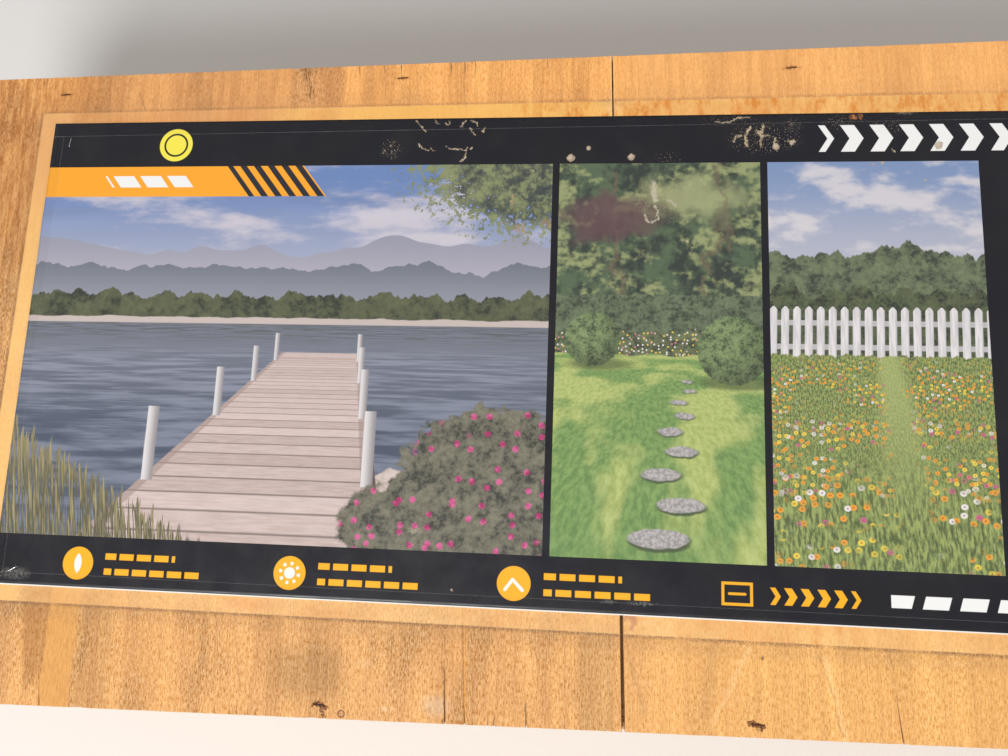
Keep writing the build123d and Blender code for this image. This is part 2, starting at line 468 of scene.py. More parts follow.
def near_marks(p, colour, place, ragged, rough):
    """Joins in the veneer, stains, and wood torn and bruised on the side that the print is read from."""
    x, y, _ = p.split(place)
    rx, ry, _ = p.split(ragged)
    grain = p.noise(p.join(x, y * 0.14), 0.75, 3, 0.75)
    soiled = (rx + (ry + 185) * 0.13).fade(-506, -500) * x.fade(-472, -477)
    soiled *= (y + grain * 60).fade(-246, -228)
    colour.tint(soiled * (grain * 0.5 + 0.75), (0.68, 0.63, 0.58))
    strip = (x - (y + 241) * 0.0285).within(-477, -450.6, 0.4)
    colour.lay(strip * 0.9, p.mix(grain.fade(0.32, 0.72), (0.8, 0.405, 0.117), (0.63, 0.285, 0.08)))
    join = x + y * 0.0392 + 130.8
    colour.lay(join.within(-0.2, 1.3) * 0.45, (0.92, 0.42, 0.08))
    colour.lay(join.within(-0.9, -0.1) * 0.62, (0.26, 0.11, 0.04))
    colour.blot(ragged, (-143, -270), (11, 7), 4, 0.3, (0.7, 0.6, 0.47))
    for scuff in NEAR_SCUFFS:
        colour.streak(ragged, *scuff)
    torn = reduce(Field.either, [p.stroke(rough, *tear) for tear in NEAR_TEARS])
    bruise = p.stroke(rough, (99, -272.6), (108.2, -275.4), 4.6, 0.5)
    tone = p.noise(place, 0.55, 2, 0.8)
    wounds = p.mix(tone.fade(0.44, 0.62), (0.045, 0.012, 0.005), (0.32, 0.125, 0.04))
    colour.lay(torn.either(bruise) * 0.95, wounds)
    colour.blot(ragged, (110.2, -224.8), (1.1, 1.9), 0.5, 0.85, (0.12, 0.07, 0.045))
    from_hole = p.away(place, (-219.3, -279))
    colour.lay(from_hole.within(1.9, 3) * 0.8, (0.12, 0.045, 0.028))
    colour.lay(from_hole.fade(1.2, 1.9, 0.5, 0), (0.46, 0.2, 0.12))
    chips = p.ellipse(rough, (-202.5, -239.5), (6.5, 2.2), 1)
    chips = chips.either(p.ellipse(rough, (-184, -274), (5.5, 1.6), 1))
    colour.lay(chips * tone.fade(0.52, 0.64) * 0.75, (0.93, 0.76, 0.56))


def under_tape(p, colour, place, ragged, far):
    """Cleaner wood under the tape, with orange stains, and a line of dirt along the tape's edge."""
    x, y, _ = p.split(place)
    rx, ry, _ = p.split(ragged)
    sx, sy = rx * 0.12 + x * 0.88, ry * 0.12 + y * 0.88
    inside = (sx - outer_edge("left", sy)).both(outer_edge("right", sy) - sx)
    if far:
        inside = inside.both(outer_edge("far", sx) - sy)
        clean = p.mix(y.fade(14, 170), (1, 0.6, 0.25), (1, 0.59, 0.19))
        dirt = y.fade(14, 120, 0.8, 0.44)
        patch, rusty = x.within(-75, 420, 40) * y.fade(100, 180), 1.15
    else:
        inside = inside.both(sy - outer_edge("near", sx))
        clean, dirt = (1, 0.6, 0.25), 0.8
        patch, rusty = x.within(60, 200, 60) * y.fade(-100, -180), 0.45
    under = inside.fade(-0.5, 0.5)
    colour.lay(under * 0.5, clean)
    cloud = p.noise(p.join(x * 0.7, y * 1.5), 0.022, 4, 0.62)
    colour.tint(under * cloud.fade(0.46, 0.66), (0.955, 0.9, 0.87))
    colour.tint(under * cloud.fade(0.46, 0.32), (1.03, 1.07, 1.12))
    if not far:
        torn = p.warp(place, 0.16, 8, 3)
        pink = p.stroke(torn, (5.4, -198.2), (13.2, -198.6), 4.6, 1.6)
        pink = pink.either(p.stroke(torn, (13.4, -199), (9.6, -206.5), 3, 1.6))
        colour.lay(pink * 0.78, (0.6, 0.27, 0.155))
        colour.blot(ragged, (-305, -197), (17, 5), 4, 0.3, (0.82, 0.27, 0.11))
    colour.lay(under * x.fade(-500, -512) * 0.62, (1, 0.6, 0.215))
    if far:
        beyond = under * y.fade(110, 200)
        colour.tint(beyond * x.fade(-290, -330), (0.93, 0.84, 0.93))
        colour.lay(beyond * x.within(-240, 0, 30) * 0.52, (1, 0.555, 0.135))
    seep = p.noise(p.spot(x, y * 0.42, 4), 0.095, 5, 0.78)
    rust = seep.fade(0.43, 0.66) * 0.62 + seep.fade(0.58, 0.74) * 0.45
    colour.lay(rust * under * (patch * rusty + 0.1), (0.78, 0.285, 0.055))
    grit = p.noise(place, 0.8, 2, 0.7)
    drift = p.noise(place, 0.045, 3, 0.6).fade(0.28, 0.52, 0.45, 1)
    film = inside.fade(-3.8, -0.3) * inside.fade(-0.3, 0.8, 1, 0) * grit.fade(0.22, 0.6) * drift
    colour.lay(film * dirt, (0.215, 0.11, 0.055))
    haze = inside.within(-12, 0, 5) * grit.fade(0.3, 0.66) * (1 - under)
    colour.lay(haze * dirt * 0.38, (0.32, 0.18, 0.095))
    return under


def lid_finish(far):
    """The far or near half of the lid: veneer with the marks of its life outdoors."""
    def build(p):
        place = p.place()
        x, y, _ = p.split(place)
        seam = seam_distance(x, y)
        on_right = seam.fade(-0.5, 0.5)
        ragged, rough = p.warp(place, 0.12, 5), p.warp(place, 0.42, 5.4)
        rx, ry, _ = p.split(ragged)
        if far:
            weathered = rx.within(-296, -245, 3) * ry.fade(244, 250) * 1.2
            weathered = weathered + rx.within(-640, -495, 25) * ry.fade(60, 150) * 0.25
            wear = on_right * -0.45 + y.fade(FACE_MIDDLE, 170, 0.9, 0.7) + weathered
            grain = on_right * -0.03 + y.fade(FACE_MIDDLE, 170, 1, 0.52) + weathered * 0.35
            grain = grain + rx.within(-180, 4, 30) * 0.15
            tints, marks, lines = FAR_TINTS, far_marks, FAR_LINES
        else:
            wear, grain = on_right * -0.45 + 0.9, on_right * -0.03 + 1
            tints, marks, lines = NEAR_TINTS, near_marks, NEAR_LINES
        wood = p.use(VENEER, Across=x, Along=y, Seed=on_right * 3 + 1, Wear=wear, Grain=grain)
        colour = p.mix(on_right * 0.2, wood["Color"], (1, 0.54, 0.18))
        for across, along, soft, tone in tints:
            colour.tint(rx.within(*across, soft) * ry.within(*along, soft), tone)
        if far:
            colour.tint(y.fade(60, 250), (1.05, 0.95, 0.85))
        marks(p, colour, place, ragged, rough)
        under = under_tape(p, colour, place, ragged, far)
        for start, end, width, strength in lines:
            colour.streak(ragged, start, end, width, 0.45, strength, LINE_BROWN)
        if far:
            pale = seam.within(-2, -0.5, 0.4) * 0.42 + seam.within(0.4, 1.7, 0.4) * 0.28
            colour.lay(pale, (1, 0.68, 0.31))
        else:
            colour.lay(abs(seam).fade(1, 2.2, 0.22, 0), (0.28, 0.15, 0.08))
        rough_face = wood["Rough"] - under * 0.12
        return {"Base Color": colour, "Roughness": rough_face, "Height": wood["Height"], "Relief": 0.16}
    return build


def lid_edge_finish(p):
    """The lid's sawn edge, which shows its plies."""
    x, y, z = p.split(p.place())
    plies = p.use(PLIES, Depth=LID_TOP - z, Run=x + y, Thick=PLY_THICK, Seed=1)
    colour = p.mix(z.fade(LID_TOP - 0.5, LID_TOP - 0.2), plies["Color"], (0.72, 0.385, 0.15))
    return {"Base Color": colour, "Height": plies["Height"], "Relief": 0.3}


def wall_finish(side, seed):
    """A wall sheet, whose grain runs up it. side is the axis across it, and its faces are on the other."""
    def build(p):
        axes = p.split(p.place())
        across, through, z = axes[side], axes[1 - side], axes[2]
        turned = (across / 1200).fade(-0.01, 0.01) * 2 + seed
        wood = p.use(VENEER, Across=across, Along=z, Seed=turned, Wear=0.34, Grain=0.75)
        streaks = p.noise(p.join(across + seed * 91, z * 0.05), 0.011, 5, 0.62)
        colour = Colour(p, wood["Color"])
        colour.tint(streaks.fade(0.36, 0.66), (0.84, 0.8, 0.76))
        outside = HALF_WIDTH if side == 0 else HALF_LENGTH
        depth = outside - abs(through)
        splash = p.noise(p.join(across, z * 0.7), 0.014, 5, 0.65)
        dust = (z * -0.006 + 1.35).both(1) * splash.fade(0.36, 0.62) * z.fade(250, 90)
        colour.lay(dust * 0.42, (0.42, 0.33, 0.25))
        runs = p.noise(p.join(across, z * 0.04), 0.09, 4, 0.65).fade(0.56, 0.76) * z.fade(330, 585)
        colour.lay(runs * 0.38, (0.36, 0.215, 0.125))
        edge = depth.within(0.25, 8.75, 0.1)
        plies = p.use(PLIES, Depth=depth, Run=across + z, Thick=PLY_THICK, Seed=seed)
        colour.lay(edge, plies["Color"])
        height = wood["Height"] * (1 - edge) + plies["Height"] * edge
        return {"Base Color": colour, "Roughness": wood["Rough"], "Height": height, "Relief": 0.18}
    return build


def floor_finish(p):
    """The floor's plain plywood."""
    x, y, _ = p.split(p.place())
    wood = p.use(VENEER, Across=x, Along=y, Seed=9, Wear=0.5, Grain=0.8)
    return {"Base Color": wood["Color"], "Roughness": wood["Rough"], "Height": wood["Height"], "Relief": 0.18}


def timber_finish(grain, seed=3):
    """Sawn softwood: growth rings about a pith below the timber, saw marks across it and dirt."""
    def build(p):
        place = p.place()
        axes = p.split(place)
        along = axes.pop(grain)
        first, second = axes
        pitch = 971 if grain == 1 else 4000
        drift = p.noise(p.spot(along * 0.006, first * 0.01, seed), 1, 2, flat=False) * 22
        offset = (first + pitch * 1.5).repeat(pitch) - pitch / 2 + 14 + drift * 0.6
        sag = second + 38 + drift
        rings = (offset * offset + sag * sag).math("SQRT")
        shake = p.noise(p.join(along * 0.02, first * 0.1, second * 0.1), 1, 3, flat=False) * 1.6
        band = ((rings + shake) * 1.5).wave()
        fibre = p.noise(p.join(along * 0.03, first, second), 1.2, 3, 0.65, flat=False)
        colour = p.mix(band.fade(0.45, 0.95), (0.7, 0.46, 0.25), (0.5, 0.27, 0.115))
        colour.lay(fibre.fade(0.4, 0.8) * 0.35, (0.38, 0.22, 0.12))
        saw = (along * 2.1 + p.noise(place, 0.05, 2, flat=False) * 3).wave()
        grime = p.noise(p.join(along * 0.4, first, second), 0.03, 5, 0.65, flat=False)
        colour.lay(grime.fade(0.45, 0.72) * 0.55, (0.26, 0.19, 0.14))
        height = fibre * 0.5 + saw * 0.28 + band * 0.2
        dull = grime.fade(0.3, 0.7, 0.62, 0.8)
        return {"Base Color": colour, "Roughness": dull, "Height": height, "Relief": 0.35}
    return build


LID_PLIES = [
    material("lid_plywood_near", lid_finish(False), Specular_IOR_Level=0.25),
    material("lid_plywood_far", lid_finish(True), Specular_IOR_Level=0.25),
    material("lid_plywood_edge", lid_edge_finish, Roughness=0.75),
]
WALL_PLY = material("long_wall_plywood", wall_finish(0, 2))
END_PLY = material("end_wall_plywood", wall_finish(1, 5))
FLOOR_PLY = material("floor_plywood", floor_finish)
TIMBER = [material(f"sawn_timber_{name}", timber_finish(axis)) for axis, name in enumerate("xyz")]


def steel_finish(rusty):
    """Staple wire: bright zinc, or rust over most of it."""
    def build(p):
        crust = p.noise(p.place(), 0.9, 4, 0.7, flat=False)
        spots = crust.fade(0.46 - rusty, 0.6 - rusty * 0.5)
        rust = p.mix(crust.fade(0.3, 0.8), (0.03, 0.016, 0.01), (0.24, 0.085, 0.024))
        return {"Base Color": p.mix(spots, (0.62, 0.61, 0.6), rust), "Metallic": spots.fade(0.1, 0.9, 1, 0),
                "Roughness": spots.fade(0, 1, 0.28, 0.85), "Height": crust, "Relief": 0.12}
    return build


RUSTY_STEEL = material("rusty_staple_wire", steel_finish(0.32), Specular_IOR_Level=0.2)
BRIGHT_STEEL = material("bright_staple_wire", steel_finish(-0.12))


def splinter_finish(p):
    """Fresh torn fibres."""
    fibre = p.noise(p.place(), 1.4, flat=False)
    return {"Base Color": p.mix(fibre.fade(0.35, 0.65), (0.72, 0.44, 0.2), (0.93, 0.66, 0.36))}


SPLINTER = material("wood_splinters", splinter_finish, Roughness=0.7)


# The print: plain pictures of no place in particular, with bands and shapes round them

INK_BLACK = (0.0075, 0.0072, 0.014)
INK_ORANGE = (0.96, 0.385, 0.01)
INK_AMBER = (0.97, 0.45, 0.016)
INK_YELLOW = (0.92, 0.79, 0.08)
INK_WHITE = (0.885, 0.875, 0.86)
MUD = (0.46, 0.36, 0.25)
RUST_BROWN = (0.4, 0.235, 0.115)
RUST_RED = (0.6, 0.22, 0.07)
PALE_CLAY = (0.58, 0.5, 0.36)
SCUFF = (0.13, 0.125, 0.12)


def leaves(p, place, size, seed):
    """Leaves seen from a way off: a light and dark flicker with deep gaps."""
    x, y, _ = p.split(place)
    spot = p.spot(x / size, y / size, seed)
    clumps = p.noise(spot, 0.3, 2, 0.6)
    flicker = p.noise(spot, 1.1, 4, 0.78)
    light = clumps.fade(0.32, 0.68) * 0.5 + flicker.fade(0.3, 0.7) * 0.5
    return light, flicker * 0.55 + clumps * 0.45


LEAVES = shared(leaves, "Place Size Seed", "Light Gaps")


def dried_mud(p, place, size):
    """Dried mud left by water: thin curls and specks, as two masks."""
    curls = p.noise(place, size, 2, 0.45, 1.2)
    breaks = p.noise(place, 0.21).fade(0.46, 0.54)
    return abs(curls - 0.5).fade(0.006, 0.022, 1, 0) * breaks, p.noise(place, 0.75).fade(0.66, 0.71)


SOIL = shared(dried_mud, "Place Size", "Curls Specks")


def foliage(p, place, size, seed, dark, light):
    """The colour of a mass of leaves, and its gaps."""
    out = p.use(LEAVES, Place=place, Size=size, Seed=seed)
    colour = p.mix(out["Light"], dark, light)
    colour.lay(out["Gaps"].fade(0.36, 0.5, 0.7, 0), [c * 0.4 for c in dark])
    return colour, out["Gaps"]


def blurred_trees(p, x, y, seed):
    """Trees and shrubs far out of focus, with paler greens where the sun falls on them."""
    masses = p.noise(p.spot(x, y, seed), 0.03, 3, 0.62)
    flicker = p.noise(p.spot(x, y, seed + 5), 0.13, 3, 0.6)
    light = masses * 0.62 + flicker * 0.38
    colour = p.mix(light.fade(0.38, 0.6), (0.024, 0.036, 0.028), (0.085, 0.13, 0.068))
    sun = p.noise(p.spot(x, y * 1.5, seed + 9), 0.024, 3, 0.65) * 0.7 + flicker * 0.3
    colour.lay(sun.fade(0.5, 0.64) * 0.85, (0.34, 0.37, 0.16))
    return colour


def uneven(p, u, pitch, seed, rise, level, detail=2, roughness=0.5):
    """The height of an uneven top at each place along the picture."""
    return p.noise(p.join(u * pitch, seed), 1, detail, roughness) * rise + level


def ridge(p, u, level, rise, pitch, seed, detail=2):
    """The height of a ridge, whose middle is at the level."""
    return uneven(p, u, pitch, seed * 31.7, rise, level - rise / 2, detail, 0.55)


def below_horizon(v, horizon):
    """How far below the horizon a place on flat ground is, which is what its distance goes by."""
    return (horizon - v).either(8)


def lake_picture(p, page, u, v):
    """A boardwalk over a lake, with hills, reeds and a flowering bush."""
    picture = p.mix(v.fade(262, 372), (0.4, 0.42, 0.53), (0.135, 0.225, 0.47))
    clouds = p.noise(p.spot(u * 0.008, v * 0.026, 1), 1, 5, 0.58)
    picture.lay(clouds.fade(0.47, 0.7) * 0.8, (0.66, 0.6, 0.64))
    hills = p.mix(v.fade(255, 320), (0.46, 0.43, 0.5), (0.3, 0.3, 0.38))
    picture.lay(v.below(ridge(p, u, 305, 52, 0.011, 2), 0.5), hills)
    hills = p.mix(v.fade(250, 295), (0.27, 0.28, 0.34), (0.145, 0.165, 0.2))
    picture.lay(v.below(ridge(p, u, 284, 34, 0.021, 5, 4), 0.5), hills)
    trees, _ = foliage(p, page, 7, 1, (0.04, 0.052, 0.03), (0.125, 0.135, 0.062))
    picture.lay(v.below(ridge(p, u, 258, 30, 0.05, 9, 5), 0.6), trees)
    picture.lay(v.below(uneven(p, u, 0.03, 3, 5, 234, 3), 0.5), (0.56, 0.47, 0.44))

    # Water, whose ripples open out towards the viewer
    horizon, walk_middle = 264, 300
    depth = below_horizon(v, horizon)
    ripples = p.noise(p.spot((u - 235) / depth * 2.2, depth.over(4200), 0), 0.42, 4, 0.62)
    water = p.mix(ripples.fade(0.36, 0.66), (0.062, 0.082, 0.125), (0.2, 0.225, 0.3))
    water.lay(v.fade(120, 232) * 0.3, (0.42, 0.41, 0.48))
    water.lay(v.fade(196, 228) * ripples.fade(0.42, 0.58) * 0.75, (0.05, 0.062, 0.045))
    picture.lay(v.below(231, 0.5), water)

    # Bank in the foreground
    bank_top = p.noise(p.join(u * 0.02, 8), 1, 4) * 40 + (u - 300).either(0) * 0.3 + 72
    sand = p.mix(p.noise(page, 0.11, 4, 0.65).fade(0.35, 0.7), (0.66, 0.545, 0.5), (0.44, 0.35, 0.31))
    picture.lay(v.below(bank_top, 1.2) * u.fade(296, 300), sand)

    # Boardwalk: boards across it, each its own shade, and posts along both sides
    lateral = (u - walk_middle) / depth
    board = depth.over(2350)
    grain = p.noise(p.spot(lateral * 3, board * 3, 2), 2.2, 4, 0.7)
    shade = p.chance(board) * 0.55 + grain.fade(0.3, 0.7) * 0.4
    planks = p.mix(shade, (0.7, 0.56, 0.53), (0.45, 0.335, 0.305))
    planks.lay((1 - board.repeat(1).within(0.06, 0.97, 0.05)) * 0.85, (0.15, 0.105, 0.095))
    planks.lay((1 - lateral.within(-0.99, 0.1, 0.003)) * 0.6, (0.33, 0.235, 0.21))
    picture.lay(lateral.within(0.15, 0.178, 0.003) * v.below(205, 0.5), (0.115, 0.075, 0.065))
    picture.lay(lateral.within(-1.04, 0.15, 0.004) * v.below(206, 0.5), planks)
    for lean in (-1.02, 0.13):
        for reach in (64, 82, 112, 168):
            foot, middle, wide = horizon - reach, walk_middle + lean * reach, reach * 0.03
            post = u.within(middle - wide, middle + wide, 0.5)
            post = post * v.within(foot - reach * 0.02, foot + reach * 0.36, 0.5)
            side = u.fade(middle - wide, middle + wide)
            picture.lay(post, p.mix(side, (0.74, 0.7, 0.7), (0.3, 0.27, 0.28)))

    # Reeds on the left, a flowering bush on the right and leaves above it
    blades = p.noise(p.spot(u + v * 0.16, v * 0.05, 3), 0.42, 3, 0.6)
    tops = uneven(p, u, 0.23, 6, 66, 104, 3, 0.6) - u * 0.55
    reeds = p.mix(blades.fade(0.45, 0.7), (0.075, 0.072, 0.035), (0.36, 0.3, 0.15))
    reeds.lay(v.fade(60, 190), (0.4, 0.33, 0.17))
    picture.lay(v.below(tops, 1.5) * blades.fade(0.4, 0.47), reeds)
    ragged = p.warp(page, 0.07, 34, 4)
    bush = p.ellipse(ragged, (432, 96), (84, 66), 2).either(p.ellipse(ragged, (352, 62), (54, 34), 2))
    green, gaps = foliage(p, page, 5.5, 4, (0.06, 0.062, 0.046), (0.235, 0.215, 0.15))
    picture.lay(bush, green)
    bloom, chance = p.cells(p.warp(page, 0.5, 2), 0.085)
    blossom = p.mix(gaps.fade(0.4, 0.6), (0.36, 0.022, 0.115), (0.66, 0.12, 0.3))
    picture.lay(bloom.fade(0.2, 0.24, 1, 0) * chance.fade(0.52, 0.56) * bush, blossom)
    twigs = p.noise(p.spot(u, v, 11), 0.16, 5, 0.74)
    crown = p.ellipse(page, (470, 376), (104, 54), 34)
    light = twigs * 0.6 + p.noise(p.spot(u, v, 3), 0.05) * 0.4
    green = p.mix(light.fade(0.38, 0.62), (0.026, 0.036, 0.02), (0.24, 0.27, 0.1))
    picture.lay((crown * 0.4 + twigs).fade(0.62, 0.7) * crown.fade(0.02, 0.12) * 0.94, green)

    # Orange tab with stripes over the upper left corner
    slant = u + (v - 349) * 0.78
    tab = p.mix(slant.repeat(13).within(0, 6.5) * slant.fade(196, 196.4), INK_ORANGE, INK_BLACK)
    tab.lay(slant.within(72, 150) * v.within(358, 369) * slant.repeat(26).within(2, 22), INK_WHITE)
    picture.lay(v.fade(348.7, 349.3) * slant.below(268, 0.4), tab)
    return picture


def lawn_picture(p, page, u, v):
    """Stepping stones over a lawn, with a hedge, round bushes and tall trees."""
    picture = blurred_trees(p, u, v, 2)
    soft = p.warp(page, 0.04, 36, 3)
    picture.blot(soft, (590, 346), (44, 17), 9, 0.75, (0.4, 0.42, 0.2))
    trunks = ((596, 262), (612, 330), 5), ((618, 300), (612, 372), 4), ((530, 262), (520, 362), 6)
    for start, end, wide in trunks:
        picture.streak(soft, start, end, wide, 2.4, 0.55, (0.17, 0.125, 0.075))
    picture.blot(soft, (520, 330), (42, 21), 7, 0.8, (0.125, 0.058, 0.066))
    hedge, _ = foliage(p, page, 3.2, 5, (0.05, 0.07, 0.04), (0.165, 0.21, 0.115))
    picture.lay(v.below(uneven(p, u, 0.09, 1, 5, 258, 3), 0.7), hedge)
    flowers, chance = p.cells(page, 0.3)
    bed, _ = foliage(p, page, 2.6, 6, (0.048, 0.06, 0.034), (0.19, 0.22, 0.1))
    petals = p.mix(chance.fade(0.62, 0.66), (0.78, 0.7, 0.7), (0.62, 0.2, 0.28))
    petals.lay(chance.fade(0.8, 0.82), (0.8, 0.58, 0.1))
    bed.lay(flowers.fade(0.2, 0.26, 1, 0) * chance.fade(0.35, 0.4), petals)
    picture.lay(v.below(uneven(p, u, 0.06, 7, 14, 222), 0.7), bed)
    depth = below_horizon(v, 262)
    grass = p.noise(p.spot((u - 561) / depth * 90, depth.over(9000), 1), 0.32, 4, 0.7).fade(0.3, 0.7)
    lawn = p.mix(grass, (0.125, 0.235, 0.066), (0.24, 0.37, 0.11))
    sun = p.noise(p.spot(u * 0.016, depth.over(260), 4), 1, 3, 0.5).fade(0.44, 0.6)
    lawn.lay(sun * 0.8, p.mix(grass, (0.4, 0.46, 0.12), (0.56, 0.6, 0.22)))
    picture.lay(v.below(uneven(p, u, 0.03, 2, 8, 205), 0.6), lawn)
    ragged = p.warp(page, 0.1, 3)
    stone = p.mix(p.noise(page, 0.35, 3, 0.6).fade(0.35, 0.65), (0.5, 0.46, 0.45), (0.3, 0.285, 0.28))
    way = ((562, 60, 24), (580, 87, 19), (564, 111, 15.5), (580, 130, 12.5), (571, 146, 10), (583, 159, 8),
           (578, 170, 6.5), (587, 179.5, 5.2), (585, 187.5, 4.2))
    for cu, cv, wide in way:
        shadow = (cu + 0.5, cv - wide * 0.08)
        picture.lay(p.ellipse(ragged, shadow, (wide * 1.05, wide * 0.37), 0.8), (0.07, 0.1, 0.04))
        picture.lay(p.ellipse(ragged, (cu, cv), (wide, wide * 0.33), 0.6), stone)
    ball, _ = foliage(p, page, 2.2, 8, (0.05, 0.078, 0.036), (0.2, 0.27, 0.11))
    dim, bright = (p.vector("SCALE", ball, scale=share) for share in (0.42, 1.5))
    for cu, cv, wide in ((507, 222, 23), (622, 214, 29)):
        shadow = (cu + 6, cv - wide * 0.92)
        picture.blot(page, shadow, (wide * 1.15, wide * 0.22), 2, 0.7, (0.045, 0.075, 0.025))
        lit = p.ellipse(page, (cu - wide * 0.3, cv + wide * 0.34), wide, wide * 0.75)
        shape = p.ellipse(p.warp(page, 0.4, 3), (cu, cv), wide, 0.8)
        picture.lay(shape, p.mix(lit * 0.75 + 0.1, dim, bright))
    return picture


def meadow_picture(p, page, u, v):
    """A flower meadow before a white fence and trees."""
    picture = p.mix(v.fade(285, 378), (0.46, 0.47, 0.56), (0.2, 0.29, 0.5))
    clouds = p.noise(p.spot(u * 0.016, v * 0.034, 6), 1, 4, 0.55)
    picture.lay(clouds.fade(0.45, 0.66) * 0.85, (0.7, 0.65, 0.67))
    far, _ = foliage(p, page, 5.5, 3, (0.05, 0.07, 0.046), (0.19, 0.225, 0.115))
    picture.lay(v.below(ridge(p, u, 300, 62, 0.026, 4, 5), 0.8), far)
    near, _ = foliage(p, page, 3.4, 7, (0.03, 0.042, 0.024), (0.115, 0.14, 0.06))
    picture.lay(v.below(ridge(p, u, 266, 40, 0.045, 8, 4), 0.8), near)

    # Fence
    pale = p.mix(p.noise(p.join(u, v * 0.1), 0.5, 3).fade(0.3, 0.7), (0.8, 0.76, 0.76), (0.62, 0.59, 0.6))
    lane = (u - 652 - v * 0.03).repeat(9.4)
    pale.lay(lane.fade(6, 8) * 0.5, (0.33, 0.32, 0.35))
    point = (v + abs(lane - 4.7) * 1.25).below(253, 0.4)
    picture.lay(v.within(236, 240.5).either(v.within(216, 220.5)), (0.5, 0.475, 0.48))
    picture.lay(lane.within(1.6, 7.8) * v.within(205, 252, 0.4) * point, pale)

    # Meadow with a path, and three sizes of flowers
    from_path = abs((u - 737) / below_horizon(v, 268) - 0.12)
    close = v.fade(70, 170, 1, 0)
    fine = p.noise(p.spot(u, v * 0.42, 3), 0.85, 4, 0.65)
    coarse = p.noise(p.spot(u + v * 0.06, v * 0.26, 7), 0.4, 4, 0.65)
    blades = fine * (1 - close) + coarse * close
    meadow = p.mix(blades.fade(0.34, 0.66), (0.085, 0.115, 0.035), (0.33, 0.4, 0.12))
    trodden = p.mix(v.fade(60, 200), meadow, p.mix(blades, (0.3, 0.38, 0.12), (0.5, 0.52, 0.2)))
    meadow.lay(from_path.fade(0.05, 0.22, 0.75, 0), trodden)
    picture.lay(v.below(uneven(p, u, 0.12, 2, 9, 207, 3), 0.7), meadow)
    for seed, size, low, high in ((1, 4.2, 150, 204), (3, 6.4, 100, 160), (5, 9.6, 43, 112)):
        distance, chance = p.cells(p.join(u / size, v / size * 1.15, seed), 1)
        petals = p.mix(chance.fade(0.5, 0.53), (0.83, 0.345, 0.03), (0.85, 0.62, 0.065))
        petals.lay(chance.fade(0.76, 0.78), (0.8, 0.74, 0.72))
        petals.lay(chance.fade(0.9, 0.91), (0.55, 0.13, 0.24))
        petals.lay(distance.fade(0.04, 0.13, 0.7, 0), (0.25, 0.1, 0.02))
        drift = p.noise(p.spot(u * 0.02, v * 0.045, seed), 1).fade(0.4, 0.55)
        mask = distance.fade(0.25, 0.31, 1, 0) * drift * v.within(low, high, 12)
        picture.lay(mask * from_path.fade(0.04, 0.12), petals)
    return picture


def panel_picture(p, page, u, v):
    """A pale panel with an orange head and rows of discs and bars."""
    picture = p.mix(p.noise(page, 0.03, 3).fade(0.3, 0.7), (0.66, 0.64, 0.62), (0.6, 0.58, 0.57))
    row_height, disc_middle = 48.5, (880, 24.2)
    row = (v - BAND_BOTTOM).repeat(row_height)
    index = (v - BAND_BOTTOM) / row_height
    picture.lay(index.repeat(2).fade(0.99, 1.01) * 0.6, (0.42, 0.42, 0.43))
    for reach, ink in ((13, INK_ORANGE), (6, INK_WHITE)):
        picture.lay(p.ellipse(p.join(u, row), disc_middle, reach), ink)
    for level, seed, long in ((31, 0, 66), (17.5, 7, 88)):
        reach = p.chance(index + seed) * 40 + (904 + long)
        bar = abs(row - level).below(2.7) * u.fade(903.7, 904.3) * (u - reach).fade(-0.3, 0.3, 1, 0)
        picture.lay(bar * (u - 904).repeat(19).within(0.5, 16.5), INK_BLACK)
    picture.lay(v.fade(333.8, 334.4), INK_ORANGE)
    dashes = (u - v * 0.4).repeat(27).within(0, 21)
    picture.lay(v.within(350, 361) * u.within(872, 1014) * dashes, INK_BLACK)
    return picture


def chevrons(u, v, start, end, low, high, pitch, wide):
    """A row of pointed bars that lean forwards."""
    bend = u + abs(v - (low + high) / 2) * 0.62
    return bend.repeat(pitch).within(0, wide) * bend.within(start, end) * v.within(low, high)


def margin_picture(p, page, u, v):
    """The plain black ground between and beside the pictures."""
    return p.mix(p.noise(page, 0.02, 3).fade(0.3, 0.7), INK_BLACK, (0.0105, 0.0092, 0.0125))


def header_picture(p, page, u, v):
    """The band above the pictures: a bare yellow disc and white chevrons."""
    picture = margin_picture(p, page, u, v)
    middle = (122, 399)
    picture.lay(p.ellipse(page, middle, 15.8), INK_YELLOW)
    picture.lay(p.away(page, middle).within(9.6, 11.4), INK_BLACK)
    picture.lay(chevrons(u, v, 702, 850, 387, 411, 24, 11.5), INK_WHITE)
    return picture


